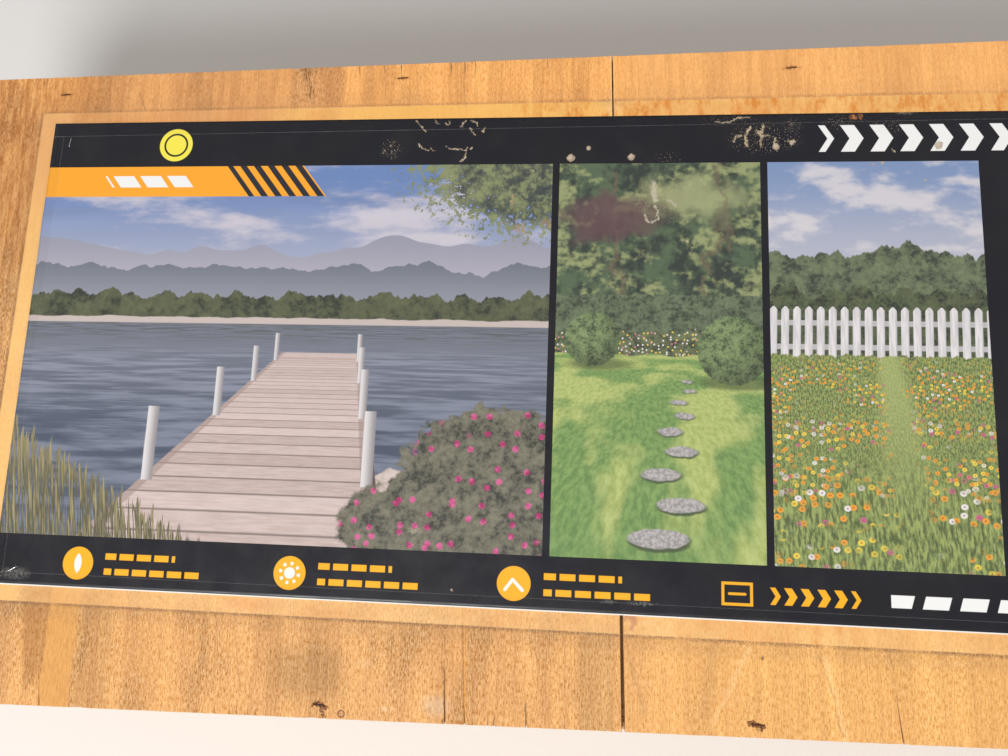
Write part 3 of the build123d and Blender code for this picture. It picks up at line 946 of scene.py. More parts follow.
def footer_picture(p, page, u, v):
    """The band below the pictures: three orange discs with plain signs, and rules and dashes."""
    picture = margin_picture(p, page, u, v)
    level = 20.5
    discs = leaf_disc, sun_disc, hill_disc = 76, 262, 448
    for start in discs:
        picture.lay(p.ellipse(page, (start, level), 13.6), INK_AMBER)
        for row, long in ((27, 62), (14.5, 84)):
            rule = u.within(start + 24, start + 24 + long) * v.within(row - 2.6, row + 2.6)
            picture.lay(rule * (u - start + row).repeat(15.5).within(1.6, 14.2), INK_AMBER)
    leaf, other = (p.ellipse(page, (leaf_disc + side, level), (6.2, 9.4)) for side in (-3, 3))
    leaf *= other
    sun = p.ellipse(page, (sun_disc, level), 4.6)
    rays = ((u - sun_disc).math("ARCTAN2", v - level) * 8).wave().fade(0.55, 0.75)
    rays = rays * p.away(page, (sun_disc, level)).within(6.4, 9)
    left, peak, right = ((hill_disc + x, level + y) for x, y in ((-7, -5), (-1, 3), (7, -5)))
    hills = p.stroke(page, left, peak, 2.6, 0.3).either(p.stroke(page, peak, right, 2.6, 0.3))
    picture.lay(leaf.either(sun).either(rays).either(hills), INK_WHITE)
    box = u.within(611, 635) * v.within(11.5, 29.5) - u.within(613.2, 632.8) * v.within(13.7, 27.3)
    picture.lay(box.either(p.stroke(page, (617, level), (629, level), 2, 0.3)), INK_AMBER)
    picture.lay(chevrons(u, v, 652, 716, 13.5, 26.5, 12.5, 6), INK_AMBER)
    rules = u.within(738, 960) * v.within(15.5, 25) * (u - v * 0.3).repeat(27).within(0, 19)
    picture.lay(rules, INK_WHITE)
    picture.lay(v.below(0.95, 0.2), (0.86, 0.83, 0.79))
    return picture


def soiled(p, picture, place, curls=(), specks=(), drops=(), stains=(), trails=()):
    """Dried mud, water drops and brown stains on the print, at places in the crate's frame."""
    soil = p.use(SOIL, Place=place, Size=0.2)
    ragged = p.warp(place, 0.22, 3.2, 3)
    for colour, width, lines in trails:
        away = [p.away(ragged, *ends) for line in lines for ends in zip(line, line[1:])]
        nearest = reduce(Field.both, away)
        crumbs = (p.noise(place, 0.5, 3, 0.7) - 0.5) * width * 3.4
        mask = (nearest + crumbs).fade(width * 0.2, width * 0.85, 1, 0)
        picture.lay(mask * p.noise(place, 0.14).fade(0.36, 0.52, 0.45, 1), colour)
    for spots, mask, strength in ((curls, soil["Curls"], 0.85), (specks, soil["Specks"], 0.8)):
        if spots:
            area = reduce(Field.either, [p.ellipse(ragged, spot[:2], spot[2:], 3) for spot in spots])
            picture.lay(mask * area * strength, MUD)
    cloud = p.noise(place, 0.5, 3, 0.65).fade(0.36, 0.58)
    for x, y, wide, high, colour, strength in stains:
        stain = p.ellipse(ragged, (x, y), (wide, high), min(wide, high) * 0.55)
        picture.lay(stain * cloud * strength, colour)
    for x, y, radius in drops:
        picture.blot(ragged, (x, y), radius, 0.5, 0.85, MUD)
        lit = (x - radius * 0.2, y + radius * 0.2)
        picture.blot(ragged, lit, radius * 0.55, 0.6, 0.55, (0.66, 0.56, 0.44))


# Dried trails by colour, width and the points along each, then the places and sizes of all
# other soil, in the crate's frame
HEADER_TRAILS = [
    (MUD, 1.05, [
        [(-176.7, 226.9), (-173.2, 222.5), (-171.1, 220.4), (-168, 216)],
        [(-159.3, 227.2), (-158.1, 223.9), (-155.4, 223.5)],
        [(-173.6, 204.6), (-169.7, 199.8), (-165.1, 198.5)],
        [(-150.2, 223.7), (-147.9, 221.7), (-146.4, 222.8), (-146.8, 225.9)],
        [(-162.9, 199.6), (-159.1, 198.2)],
        [(-136.6, 220.1), (-134.7, 220.3), (-133.7, 223.9), (-132.3, 225.5)],
        [(-127.1, 198.1), (-126.1, 200.1)], [(-127, 225.3), (-121.8, 223.5), (-120.9, 220.3)],
        [(-127.6, 219), (-126.5, 215), (-122.5, 211.7)], [(-116.3, 213.9), (-115.7, 217), (-114.2, 219.3)],
        [(-130.7, 195.5), (-131.8, 190.8), (-135.3, 186.7)],
        [(-148, 201.2), (-142.7, 199), (-130.8, 197.9), (-129.7, 199.7)], [(229.5, 187.1), (232.7, 185.5)],
        [(86.4, 218), (92, 216.2), (99, 216.8), (104.7, 220.8), (115.1, 219.9)],
        [(100.5, 198.4), (102.7, 202.9), (106.9, 203.5)],
    ]),
    ((0.5, 0.4, 0.26), 1.9, [
        [(115.5, 210.8), (111.9, 207.2), (111, 201.1), (112.2, 194.3)], [(135.7, 199.6), (135.7, 192)],
        [(126.3, 212.8), (124.3, 206), (123.9, 193.9)], [(120.2, 208.4), (124.2, 203), (129.7, 203.5)],
        [(145.9, 198.5), (149.2, 195.7), (151.3, 197.1)],
    ]),
]
LAKE_TRAILS = [
    ((0.4, 0.29, 0.16), 1.8, [[(-56.8, 125.6), (-45.4, 124.6), (-31.1, 122.9)],
                              [(-79, 127.5), (-78.9, 119.3)],
                              [(-88.5, 153.5), (-89.4, 145.1)]]),
    ((0.2, 0.19, 0.19), 2.6, [[(-2, 177.2), (1.5, 163.4), (0.1, 154.4), (-4.9, 142.5), (-9.9, 132.2)]]),
]
LAWN_TRAILS = [
    ((0.5, 0.46, 0.34), 2.4, [[(33.3, 162.6), (32, 153.7), (34.5, 146.9)]]),
    ((0.46, 0.42, 0.31), 1.6, [
        [(43.1, 146.7), (47.3, 146.1), (50.7, 142)],
        [(24.5, 134.4), (26.8, 128.4), (31.7, 127.6), (36.6, 131.2), (35.7, 137.4), (33.5, 141.7)],
    ]),
]
SOILS = {
    "margin": {},
    "header": {
        "trails": HEADER_TRAILS,
        "curls": [(-199, 200, 9, 9), (150.6, 211.9, 6, 5), (240, 224, 10, 4)],
        "specks": [(-199, 200, 9, 9), (126, 201, 30, 14), (98, 218, 16, 4), (188, 214, 10, 6),
                   (150.6, 211.9, 7, 6), (47, 186, 10, 4), (228, 208, 12, 6)],
        "drops": [(-38.3, 187.5, 3.5), (14.3, 186.9, 3), (-22.7, 196.3, 2.1), (135.7, 193, 2.8),
                  (149.2, 196, 2.2), (268, 190.5, 3.4), (240.5, 222.5, 2.4)],
        "stains": [(244, 222, 8, 2.6, PALE_CLAY, 0.8), (201, 218, 3, 2.2, RUST_RED, 0.9),
                   (206.8, 218.6, 1.6, 2.6, RUST_RED, 0.8)],
    },
    "footer": {
        "specks": [(-511, -176, 13, 4.5)],
        "drops": [(-132.9, -181, 0.9)],
        "stains": [(-511, -177, 12, 4.2, SCUFF, 0.9), (-7.5, -186.7, 5.5, 1.2, SCUFF, 0.8),
                   (19, -187.2, 9.5, 1.5, SCUFF, 0.9)],
    },
    "lake": {
        "trails": LAKE_TRAILS,
        "curls": [(-92, 128, 12, 12), (-15, 150, 18, 24), (-142.7, 170.2, 6, 5)],
        "specks": [(-2, 146, 7, 38), (-15, 126, 22, 20), (-140, 175, 16, 7)],
        "drops": [(-70.5, 176.5, 0.9)],
        "stains": [(-48, 157, 5, 4.5, RUST_BROWN, 0.75), (-26, 163.5, 5, 4.6, RUST_BROWN, 0.6),
                   (-1.5, 150, 4, 30, (0.2, 0.19, 0.21), 0.55), (-28, 126, 17, 5, RUST_BROWN, 0.8),
                   (-13, 118, 14, 5, (0.16, 0.1, 0.07), 0.75), (-83, 124, 4.5, 3.4, RUST_BROWN, 0.8),
                   (-52, 129, 12, 3, RUST_BROWN, 0.6), (13, 149, 5, 9, (0.55, 0.53, 0.56), 0.5),
                   (-165, -135, 6, 2.2, PALE_CLAY, 0.5)],
    },
    "lawn": {
        "trails": LAWN_TRAILS,
        "specks": [(40, 150, 22, 24)],
        "drops": [(60, 110, 1)],
        "stains": [(33, 156, 2.6, 9, PALE_CLAY, 0.6)],
    },
    "meadow": {
        "curls": [(214, 176, 8, 5)],
        "specks": [(214, 172, 16, 9)],
        "drops": [(222.5, 176, 1.2), (255, 160, 0.9)],
    },
    "panel": {},
}
DRAWINGS = {
    "margin": margin_picture, "header": header_picture, "footer": footer_picture, "lake": lake_picture,
    "lawn": lawn_picture, "meadow": meadow_picture, "panel": panel_picture,
}


def print_finish(name):
    """A picture printed on coated paper, under a faint veil of painted sheen in the scenes, with the marks of
    its journey.
    """
    def build(p):
        place, page = p.place(), p.place(SHEET_START, SHEET_TURN)
        picture = DRAWINGS[name](p, page, *p.split(page)[:2])
        # A faint pale veil over the three scenes: painted sheen that lifts their darks
        if name in ("lake", "lawn", "meadow"):
            picture.lay(0.035, (0.5, 0.48, 0.5))
        if SOILS[name]:
            soiled(p, picture, place, **SOILS[name])
        rub = p.noise(place, 0.03, 4, 0.62)
        picture.lay(rub.fade(0.5, 0.8) * 0.006, (0.55, 0.5, 0.45))
        return {"Base Color": picture, "Roughness": rub.fade(0.3, 0.7, 0.34, 0.46)}
    return material(f"print_{name}", build, Specular_IOR_Level=0.42)


PRINTS = {name: print_finish(name) for name in DRAWINGS}


def paper_finish(p):
    """The cut edge of the paper, a little soiled."""
    soil = p.noise(p.place(), 0.35, 3, 0.65, flat=False)
    colour = p.mix(soil.fade(0.42, 0.72), (0.88, 0.85, 0.81), (0.62, 0.55, 0.46))
    return {"Base Color": colour, "Roughness": soil.fade(0.3, 0.7, 0.5, 0.75)}


PAPER = material("paper_edge", paper_finish)

# Where each picture starts and ends along the sheet
PICTURES = {"lake": (0, 470), "lawn": (476, 646), "meadow": (652, 822), "panel": (856, 1036)}


def film_finish(p):
    """Clear packing tape: almost invisible, glossy, with a paler cut edge."""
    edge = p.read(p.node("Attribute", attribute_name="rim").outputs["Fac"]).fade(0.15, 0.95)
    gloss = p.read(p.node("Fresnel", {"IOR": 1.45}).outputs[0])
    crease = p.noise(p.place(), 0.25, 3, 0.6)
    alpha = edge * 0.09 + crease.fade(0.55, 0.8) * 0.006 + gloss * 0.08
    colour = p.mix(edge, (0.05, 0.05, 0.05), (0.8, 0.77, 0.72))
    return {"Base Color": colour, "Alpha": alpha.both(0.9), "Roughness": crease.fade(0.3, 0.7, 0.1, 0.22)}


CLEAR_FILM = material("clear_tape_film", film_finish)


# Pieces

def link(name, data):
    """Puts a mesh, lamp or lens into the scene."""
    made = bpy.data.objects.new(name, data)
    bpy.context.collection.objects.link(made)
    return made


def solid(name, points, faces, finishes, face_finish=None, smooth=None):
    """A mesh piece from corners in mm. face_finish gives each face's place in the list of finishes."""
    mesh = bpy.data.meshes.new(name)
    mesh.from_pydata([[c * MM for c in point] for point in points], [], faces)
    for finish in finishes:
        mesh.materials.append(finish)
    if face_finish:
        mesh.polygons.foreach_set("material_index", face_finish)
    if smooth:
        mesh.polygons.foreach_set("use_smooth", smooth)
    mesh.update()
    return link(name, mesh)


def belongs(piece, node):
    """Puts a finished piece in the place of its CAD node."""
    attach(piece, "root")
    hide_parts(node)


def next_to(ring):
    """The same points in turn, each moved on to the next one round."""
    return [*ring[1:], ring[0]]


def band(lower, upper):
    """Faces between two rings of points."""
    return list(zip(lower, next_to(lower), next_to(upper), upper))


def ragged_edge(start, end, inward, splits, step, wear):
    """Points along a sawn edge from start to end, worn inwards a little, with its splits."""
    run = end - start
    way = run.normalized()
    parts = round(run.length / step)
    marks = [((x - start.x) / way.x, long, wide, lean * way.x) for x, long, wide, lean in splits]
    marks = [mark for mark in marks if 4 < mark[0] < run.length - 4]
    points = [(0, start)]
    for at in (run.length * i / parts for i in range(1, parts)):
        if all(abs(at - mark[0]) > mark[2] for mark in marks):
            spot = start + way * at
            rough = noise.noise(Vector((spot.x * 0.9, spot.y * 0.9, 0.3)))
            chip = max(0, noise.noise(Vector((spot.x * 0.06, spot.y * 0.06, 7.1))) - 0.22) * 3.2
            points.append((at, spot + inward * wear * (0.45 + 0.55 * rough + chip)))
    for at, long, wide, lean in marks:
        for along, deep in ((-0.5, 0.3), (-0.2, long * 0.55), (0, long), (0.2, long * 0.55), (0.5, 0.3)):
            shift = lean * deep / long + wide * along
            points.append((at + along * wide, start + way * at + way * shift + inward * deep))
    return [point for _, point in sorted(points, key=lambda point: point[0])]


# For each of a lid sheet's edges, how far apart its points are and how far it is worn in
LONG_EDGE = (1.8, 0.42)
RIGHT_END = (7, 0.12)
LEFT_END = (7, 0.25)
RIM_EASED_IN = 0.3
RIM_EASED_DOWN = 0.35


def lid_sheet(side):
    """A lid sheet, with worn long edges, the splits that run in from them and an eased rim."""
    name = f"lid_sheet_{side}"
    near_left, near_right, far_right, far_left = corners(name)
    outline = ragged_edge(near_left, near_right, Vector((0, 1)), NEAR_SPLITS, *LONG_EDGE)
    outline += ragged_edge(near_right, far_right, Vector((-1, 0)), [], *RIGHT_END)
    outline += ragged_edge(far_right, far_left, Vector((0, -1)), FAR_SPLITS, *LONG_EDGE)
    outline += ragged_edge(far_left, near_left, Vector((1, 0)), [], *LEFT_END)
    count = len(outline)
    eased = []
    for i, point in enumerate(outline):
        way = (outline[(i + 1) % count] - outline[i - 1]).normalized()
        eased.append(point + Vector((-way.y, way.x)) * RIM_EASED_IN)
    points = [(*p, LID_TOP) for p in eased] + [(*p, LID_TOP - RIM_EASED_DOWN) for p in outline]
    points += [(*p, LID_UNDERSIDE) for p in outline]
    # The face is cut in two under the print, where each half's outline crosses the middle
    near = [point.y < FACE_MIDDLE for point in eased]
    first, second = (i for i in range(count) if near[i] != near[(i + 1) % count])
    far_part = list(range(first + 1, second + 1))
    near_part = [*range(second + 1, count), *range(first + 1)]
    top, rim, low = (range(count * i, count * (i + 1)) for i in range(3))
    faces = [(*near_part, far_part[0]), (*far_part, near_part[0]), tuple(reversed(low))]
    faces += band(rim, top) + band(low, rim)
    piece = solid(f"lid_board_{side}", points, faces, LID_PLIES, [0, 1, 1] + [2] * (2 * count))
    belongs(piece, name)


# Ripples in the printed sheet: the two ends of each, its half width and how high it stands
RIPPLES = [
    ((-533, 139), (-455, 146), 7, 0.9), ((-515, 150), (-470, 151), 5, -0.2),
    ((-300, 150), (-165, 143), 7, 0.95), ((-290, 163), (-180, 158), 8, -0.2),
    ((-165, 155), (-45, 124), 7, 0.95), ((-150, 142), (-60, 116), 6, -0.2), ((-46, 160), (20, 132), 6, 0.6),
    ((-117, 190), (-128, 20), 6, 0.35), ((-420, 60), (-240, 48), 9, 0.45), ((120, 60), (260, 75), 9, 0.45),
    ((60, -60), (180, -52), 10, 0.4), ((-480, -60), (-330, -80), 10, 0.4), ((350, 140), (470, 128), 8, 0.8),
    ((380, -20), (505, -34), 9, 0.6), ((420, 60), (436, -120), 8, 0.45),
]

# The paper's height above the lid, its foot's, and how fine its grid is, all in mm
PAPER_BASE = 0.25
PAPER_FOOT = 0.03
PRINT_STEP = 3.6

# The clear tape: the steps of its grid along and across it and at its rim, how far it stands off
# whatever is under it, how thick it is, and how far from the print's edge it comes down to the lid
FILM_ALONG = 3.2
FILM_ACROSS = 1.5
FILM_RIM = 0.5
FILM_LIFT = 0.06
FILM_THICK = 0.05
FILM_BRIDGE = 1.4


def from_line(point, start, end):
    """How far a point is from a line in mm, and how far along it, from 0 to 1."""
    start, end = Vector(start), Vector(end)
    share = min(1, max(0, (point - start).dot(end - start) / (end - start).length_squared))
    return (point - start.lerp(end, share)).length, share


def rise(x, y):
    """How high the printed sheet's face stands above the lid, in mm."""
    point = Vector((x, y))
    height = PAPER_BASE + 0.1
    height += noise.noise(Vector((x * 0.012, y * 0.02, 1))) * 0.1
    height += noise.noise(Vector((x * 0.05, y * 0.07, 4))) * 0.035
    for start, end, wide, high in RIPPLES:
        beside = [min(a, b) - wide * 2.6 < c < max(a, b) + wide * 2.6 for a, b, c in zip(start, end, point)]
        if all(beside):
            away, share = from_line(point, start, end)
            height += high * math.exp(-((away / wide) ** 2)) * math.sin(math.pi * share) ** 0.5
    seam, _ = from_line(point, SEAM_FAR, SEAM_NEAR)
    return max(height - 0.16 * math.exp(-((seam / 2) ** 2)), 0.12)


def grid_lines(stops, step):
    """Grid lines through every stop, at most a step apart."""
    lines = [stops[0]]
    for low, high in zip(stops, stops[1:]):
        parts = max(1, math.ceil((high - low) / step))
        lines += [low + (high - low) * i / parts for i in range(1, parts + 1)]
    return lines


def grid_faces(columns, rows):
    """Faces of a grid whose points run along a row first."""
    starts = [j * columns + i for j in range(rows - 1) for i in range(columns - 1)]
    return [(a, a + 1, a + columns + 1, a + columns) for a in starts]


def rim_ring(columns, rows):
    """The points round a grid, in turn."""
    last = rows * columns - 1
    right, left = range(2 * columns - 1, last, columns), range(last - 2 * columns + 1, 0, -columns)
    return [*range(columns), *right, *range(last, last - columns, -1), *left]


def printed_sheet():
    """The printed sheet: thin coated paper with slight ripples, one finish for each picture."""
    edges = [edge for ends in PICTURES.values() for edge in ends if edge]
    us = grid_lines([0, *edges, SHEET_LENGTH], PRINT_STEP)
    vs = grid_lines([0, BAND_BOTTOM, BAND_TOP, SHEET_WIDTH], PRINT_STEP)
    spots = [SHEET_START + SHEET_X * u + SHEET_Y * v for v in vs for u in us]
    points = [(*spot, LID_TOP + rise(*spot)) for spot in spots]
    order = list(PRINTS)
    kinds = []
    for v in ((low + high) / 2 for low, high in zip(vs, vs[1:])):
        for u in ((low + high) / 2 for low, high in zip(us, us[1:])):
            kind = "header" if v > BAND_TOP else "footer" if v < BAND_BOTTOM else "margin"
            for name, (low, high) in PICTURES.items():
                if low < u < high and kind == "margin":
                    kind = name
            kinds.append(order.index(kind))
    ring = rim_ring(len(us), len(vs))
    foot = range(len(points), len(points) + len(ring))
    points += [(*points[i][:2], LID_TOP + PAPER_FOOT) for i in ring]
    faces = grid_faces(len(us), len(vs)) + band(foot, ring) + [tuple(reversed(foot))]
    smooth = [True] * len(kinds) + [False] * (len(ring) + 1)
    kinds += [len(order)] * (len(ring) + 1)
    piece = solid("printed_sheet", points, faces, [*PRINTS.values(), PAPER], kinds, smooth)
    belongs(piece, "label_sheet")


def cover(spot):
    """How high whatever lies on the lid stands there, in mm, where clear film bridges the sheet's edge."""
    arm = spot - SHEET_START
    u, v = arm.dot(SHEET_X), arm.dot(SHEET_Y)
    inside = min(u, SHEET_LENGTH - u, v, SHEET_WIDTH - v)
    share = min(1, max(0, (inside + FILM_BRIDGE) / FILM_BRIDGE))
    return share * share * (3 - 2 * share) * rise(*spot)


def tape_film(name):
    """A strip of clear tape, half on the print and half on the lid."""
    near_left, near_right, far_right, far_left = TAPES[name]
    long, wide = (near_right - near_left).length, (far_left - near_left).length
    steps = (FILM_ALONG, FILM_ACROSS) if long > wide else (FILM_ACROSS, FILM_ALONG)
    stops = ([0, FILM_RIM, size - FILM_RIM, size] for size in (long, wide))
    us, vs = map(grid_lines, stops, steps)
    upper, lower = [], []
    for v in vs:
        for u in us:
            spot = near_left.lerp(near_right, u / long).lerp(far_left.lerp(far_right, u / long), v / wide)
            bubble = max(0, noise.noise(Vector((spot.x * 0.11, spot.y * 0.11, 9))) - 0.15) * 0.16
            z = LID_TOP + cover(spot) + FILM_LIFT + bubble
            lower.append((*spot, z))
            upper.append((*spot, z + FILM_THICK))
    ring, size = rim_ring(len(us), len(vs)), len(upper)
    faces = grid_faces(len(us), len(vs))
    faces += [tuple(i + size for i in reversed(face)) for face in faces]
    faces += band([i + size for i in ring], ring)
    piece = solid(f"tape_film_{name}", upper + lower, faces, [CLEAR_FILM], smooth=[True] * len(faces))
    rim = piece.data.attributes.new("rim", "FLOAT", "POINT")
    rim.data.foreach_set("value", [1.0 * (i in ring) for i in range(size)] * 2)
    belongs(piece, f"tape_{name}")


# Small repeated pieces, set out by Geometry Nodes

class Modeller:
    """Adds nodes to a Geometry Nodes tree, whose inputs are points, named sizes and a seed."""

    def __init__(self, name, sizes):
        self.tree = bpy.data.node_groups.new(name, "GeometryNodeTree")
        face = self.tree.interface
        face.new_socket("Points", in_out="INPUT", socket_type="NodeSocketGeometry")
        self.ids = {}
        for label, value in sizes.items():
            kind = "NodeSocketInt" if isinstance(value, int) else "NodeSocketFloat"
            self.ids[label] = face.new_socket(label, in_out="INPUT", socket_type=kind).identifier
        face.new_socket("Geometry", in_out="OUTPUT", socket_type="NodeSocketGeometry")
        self.given = self.tree.nodes.new("NodeGroupInput").outputs

    def node(self, kind, inputs=(), **settings):
        return add_node(self.tree, kind, inputs, **settings).outputs[0]

    def number(self, label):
        """A named size, for arithmetic."""
        return Field(self.tree, self.given[label])

    def vector(self, x=0, y=0, z=0):
        return self.node("ShaderNodeCombineXYZ", (x, y, z))

    def random(self, low, high):
        inputs = {0: low, 1: high, "Seed": self.given["Seed"]}
        return self.node("FunctionNodeRandomValue", inputs, data_type="FLOAT_VECTOR")

    def finish(self, shape, swing, size, made_of):
        """Puts the shape on every point, turned as the point says and then swung at random."""
        turn = self.node("GeometryNodeInputNamedAttribute", {"Name": "turn"}, data_type="FLOAT_VECTOR")
        turn, swung = (self.node("FunctionNodeEulerToRotation", [way]) for way in (turn, self.random(*swing)))
        turn = self.node("FunctionNodeRotateRotation", (turn, swung), rotation_space="LOCAL")
        inputs = {"Points": self.given["Points"], "Instance": shape, "Rotation": turn}
        placed = self.node("GeometryNodeInstanceOnPoints", inputs | {"Scale": self.random(*size)})
        real = self.node("GeometryNodeRealizeInstances", [placed])
        done = self.node("GeometryNodeSetMaterial", {"Geometry": real, "Material": made_of})
        add_node(self.tree, "NodeGroupOutput", [done])


STAPLE = {"Crown": 11.2 * MM, "Leg": 1.7 * MM, "Wire": 1.3 * MM, "Seed": 3}
SLIVER = {"Long": 3.4 * MM, "Thick": 0.42 * MM, "Seed": 8}


def staple_maker(finish):
    """A staple's crown, whose two ends bend down into the wood."""
    m = Modeller("staple_rows", STAPLE)
    half = m.number("Crown") * 0.5
    line = m.node("GeometryNodeCurvePrimitiveLine", {"Start": m.vector(half * -1), "End": m.vector(half)})
    line = m.node("GeometryNodeResampleCurve", {"Curve": line, "Count": 9})
    x = Field(m.tree, m.node("ShaderNodeSeparateXYZ", [m.node("GeometryNodeInputPosition")]))
    drop = abs(x / half).math("POWER", 7) * (m.number("Leg") * -1)
    bent = m.node("GeometryNodeSetPosition", {"Geometry": line, "Offset": m.vector(z=drop)})
    inputs = {"Resolution": 6, "Radius": m.number("Wire") * 0.5}
    wire = m.node("GeometryNodeCurvePrimitiveCircle", inputs)
    shape = m.node("GeometryNodeCurveToMesh", {"Curve": bent, "Profile Curve": wire, "Fill Caps": True})
    m.finish(shape, ((-0.05, -0.05, -0.1), (0.05, 0.05, 0.1)), ((0.94, 1, 1), (1.03, 1, 1)), finish)
    return m


def sliver_maker(finish):
    """A torn fibre: a long thin point."""
    m = Modeller("splinter_fringe", SLIVER)
    inputs = {"Vertices": 4, "Radius Top": 0, "Radius Bottom": m.given["Thick"], "Depth": m.given["Long"]}
    shape = m.node("GeometryNodeMeshCone", inputs)
    m.finish(shape, ((-0.35, -0.7, -1.5), (0.35, 0.7, 1.5)), ((0.4, 0.3, 0.35), (1, 0.6, 1)), finish)
    return m


def scatter(name, spots, maker, finish, sizes):
    """Sets one small shape on many spots, each a place in mm and a rotation."""
    modeller = maker(finish)
    mesh = bpy.data.meshes.new(f"{name}_spots")
    mesh.from_pydata([[c * MM for c in place] for place, _ in spots], [], [])
    turns = mesh.attributes.new("turn", "FLOAT_VECTOR", "POINT")
    turns.data.foreach_set("vector", [angle for _, turn in spots for angle in turn])
    holder = link(f"{name}_spots", mesh)
    modifier = holder.modifiers.new("rows", "NODES")
    modifier.node_group = modeller.tree
    for label, value in sizes.items():
        modifier[modeller.ids[label]] = value
    made = holder.evaluated_get(bpy.context.evaluated_depsgraph_get())
    plain = bpy.data.meshes.new_from_object(made)
    holder.modifiers.clear()
    bpy.data.objects.remove(holder)
    plain.polygons.foreach_set("use_smooth", [True] * len(plain.polygons))
    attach(link(name, plain), "root")


QUARTER = math.pi / 2
FACING = {"up": (0, 0, 0), "front": (QUARTER, 0, 0), "back": (-QUARTER, 0, 0),
          "left": (0, -QUARTER, 0), "right": (0, QUARTER, 0)}


def facing(way, slew=0):
    """The rotation of a fastener driven into a face that looks along way, slewed about its own axis."""
    return (Euler(FACING[way]).to_matrix() @ Euler((0, 0, slew)).to_matrix()).to_euler()


LID_STAPLES = [
    (-850, 267.5), (-516, 265.1), (-190.7, 269.4), (151.8, 265.7), (492, 268.2), (828, 266), (-915, -271.2),
    (-580, -273.5), (-237.8, -273), (104.4, -273.9), (447, -272), (786, -274.1), (-1001, -150), (-1003, 40),
    (-1001, 205), (1003, -160), (1001, 25), (1002, 190),
]
# Those in the print have their own angle
PRINT_STAPLES = [(-506, 216.5, 1.5), (-514.2, -173.5, 0.55), (508, 194, 1.62), (500, -196, -0.4)]
# The heights of the rows along the rails, and how far the fasteners stand off or sink in
STAPLE_LEVELS = (132, 561)
STAPLE_PROUD = 0.05
STAPLE_SUNK = 0.25
SPLINTER_SUNK = 1.3


def staple_spots():
    """Where the crate's staples are: along the lid's edges, and over the rails and posts behind the walls."""
    spots = [((x, y, LID_TOP + STAPLE_PROUD), facing("up", QUARTER * (abs(x) > 950))) for x, y in LID_STAPLES]
    for way, y in (("front", STAPLE_SUNK - HALF_WIDTH), ("back", HALF_WIDTH - STAPLE_SUNK)):
        for i in range(13):
            x = -945 + i * 157.5 + (i * 37 % 11 - 5) * 1.5
            spots += [((x, y, z + (i * 13 % 7 - 3)), facing(way)) for z in STAPLE_LEVELS]
        for i in range(4):
            for x in (-977, -24, 24, 977):
                z = 214 + i * 88 + (i * 29 + x) % 9
                spots.append(((x + (i * 5 % 3 - 1) * 2, y, z), facing(way, QUARTER)))
    for way, x in (("left", STAPLE_SUNK - HALF_LENGTH), ("right", HALF_LENGTH - STAPLE_SUNK)):
        for i in range(4):
            spots += [((x, -186 + i * 124 + i % 2 * 6, z), facing(way, QUARTER)) for z in STAPLE_LEVELS]
            spots += [((x, y + i % 2 * 3, 205 + i * 93), facing(way)) for y in (-258, 258)]
    return spots


def splinter_spots():
    """Torn fibres along the lid's two long edges, thickest where the splits are."""
    spots = []
    edge = HALF_WIDTH - SPLINTER_SUNK
    for way, y, splits in (("front", -edge, NEAR_SPLITS), ("back", edge, FAR_SPLITS)):
        places = [x + shift for x, *_ in splits for shift in (-1.3, 1.5, 3)]
        places += [-1000 + i * 8.3 + (i * i * 7 % 13) * 0.6 for i in range(241)]
        for i, x in enumerate(places):
            spots.append(((x, y, LID_TOP - 0.3 - (i * 5 % 9) * 0.55), Euler(FACING[way])))
    return spots


# Putting it together

REDRAWN = ("lid_sheet", "label_sheet", "tape")


def finish_of(name):
    """The material of a CAD node that keeps its own mesh. Timber's goes by the axis it runs along."""
    if "wall" in name:
        return END_PLY if name.startswith("end") else WALL_PLY
    if name.startswith("floor"):
        return FLOOR_PLY
    return TIMBER[2 if "post" in name else 0 if name.endswith(("rail_front", "rail_back")) else 1]


for name, node in NODES.items():
    if not name.startswith(REDRAWN):
        node.data.materials.clear()
        node.data.materials.append(finish_of(name))

for side in ("left", "right"):
    lid_sheet(side)
printed_sheet()
for name in TAPES:
    tape_film(name)
scatter("crate_staples", staple_spots(), staple_maker, RUSTY_STEEL, STAPLE)
on_print = [((x, y, LID_TOP + PAPER_BASE + 0.15), facing("up", slew)) for x, y, slew in PRINT_STAPLES]
scatter("print_staples", on_print, staple_maker, BRIGHT_STEEL, STAPLE | {"Wire": 0.8 * MM, "Seed": 5})
scatter("edge_splinters", splinter_spots(), sliver_maker, SPLINTER, SLIVER)


# Stage, light and camera

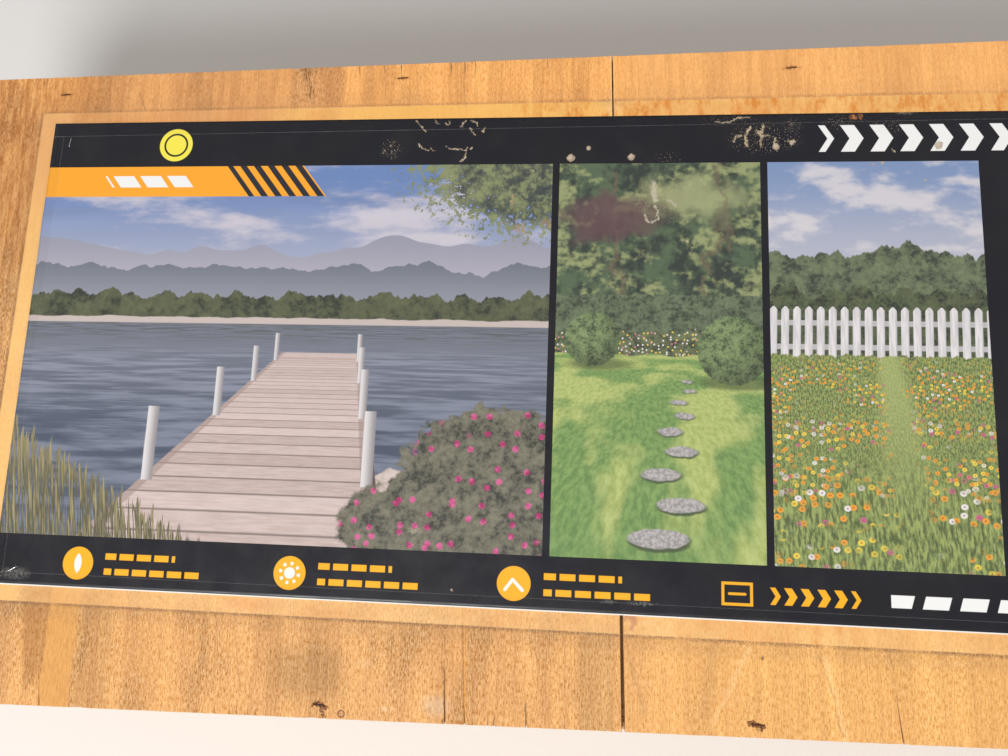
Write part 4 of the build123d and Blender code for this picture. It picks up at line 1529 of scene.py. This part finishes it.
PHOTO_WIDTH = 1008
PHOTO_FOCUS = 790
SENSOR_WIDTH = 36
CAMERA_PLACE = Vector((-0.028, -0.1177, 0.6504))
CAMERA_TILT = (0.16826, 0.09891, 0.00093)
KEY_WAY = Vector((-0.44, -0.9, 1.05))
KEY_SIZE = 1.6
KEY_SHARE = 0.62
KEY_DISTANCE = 5
SKY_SHARE = 0.48
SKY_COLOUR = (1, 0.99, 0.97)
FLOOR_PAPER = (0.8, 0.79, 0.77)
FLOOR_REACH = 9000


def studio():
    """A plain pale floor, a soft key light from the near left and an even pale surround."""
    paper = material("floor_paper", Base_Color=FLOOR_PAPER, Roughness=0.9)
    p = Paint(paper.node_tree)
    nodes = p.tree.nodes
    # Seen from below the floor is clear, so that the crate's underside shows
    faces = (p.node("NewGeometry").outputs["Backfacing"], nodes["Principled BSDF"].outputs[0],
             p.node("BsdfTransparent").outputs[0])
    connect(p.tree, p.node("MixShader", faces).outputs[0], nodes["Material Output"].inputs["Surface"])
    around = [(x * FLOOR_REACH, y * FLOOR_REACH, 0) for x, y in ((-1, -1), (1, -1), (1, 1), (-1, 1))]
    solid("floor", around, [(0, 1, 2, 3)], [paper])

    lamp = bpy.data.lights.new("key", "AREA")
    lamp.shape = "DISK"
    lamp.size = KEY_SIZE
    way = KEY_WAY.normalized()
    lamp.energy = KEY_SHARE * math.pi ** 2 * KEY_DISTANCE ** 2 / way.z
    key = link("key", lamp)
    key.location = way * KEY_DISTANCE + LID_MIDDLE
    key.rotation_euler = KEY_WAY.to_track_quat("Z", "Y").to_euler()

    world = bpy.data.worlds.new("surround")
    world.use_nodes = True
    sky = world.node_tree.nodes["Background"]
    for name, value in (("Color", SKY_COLOUR), ("Strength", SKY_SHARE)):
        connect(world.node_tree, value, sky.inputs[name])
    bpy.context.scene.world = world


def camera():
    """The photograph's viewpoint: a lens held by hand over the lid, 11 degrees off plumb."""
    lens = bpy.data.cameras.new("camera")
    lens.sensor_width = SENSOR_WIDTH
    lens.lens = SENSOR_WIDTH * PHOTO_FOCUS / PHOTO_WIDTH
    turn = Matrix.Translation(CAMERA_PLACE + LID_MIDDLE)
    for angle, axis in zip(CAMERA_TILT, "XYZ"):
        turn = turn @ Matrix.Rotation(angle, 4, axis)
    bpy.context.scene.camera = link("camera", lens)
    bpy.context.scene.camera.matrix_world = turn


studio()
camera()
bpy.context.scene.view_settings.view_transform = "Standard"
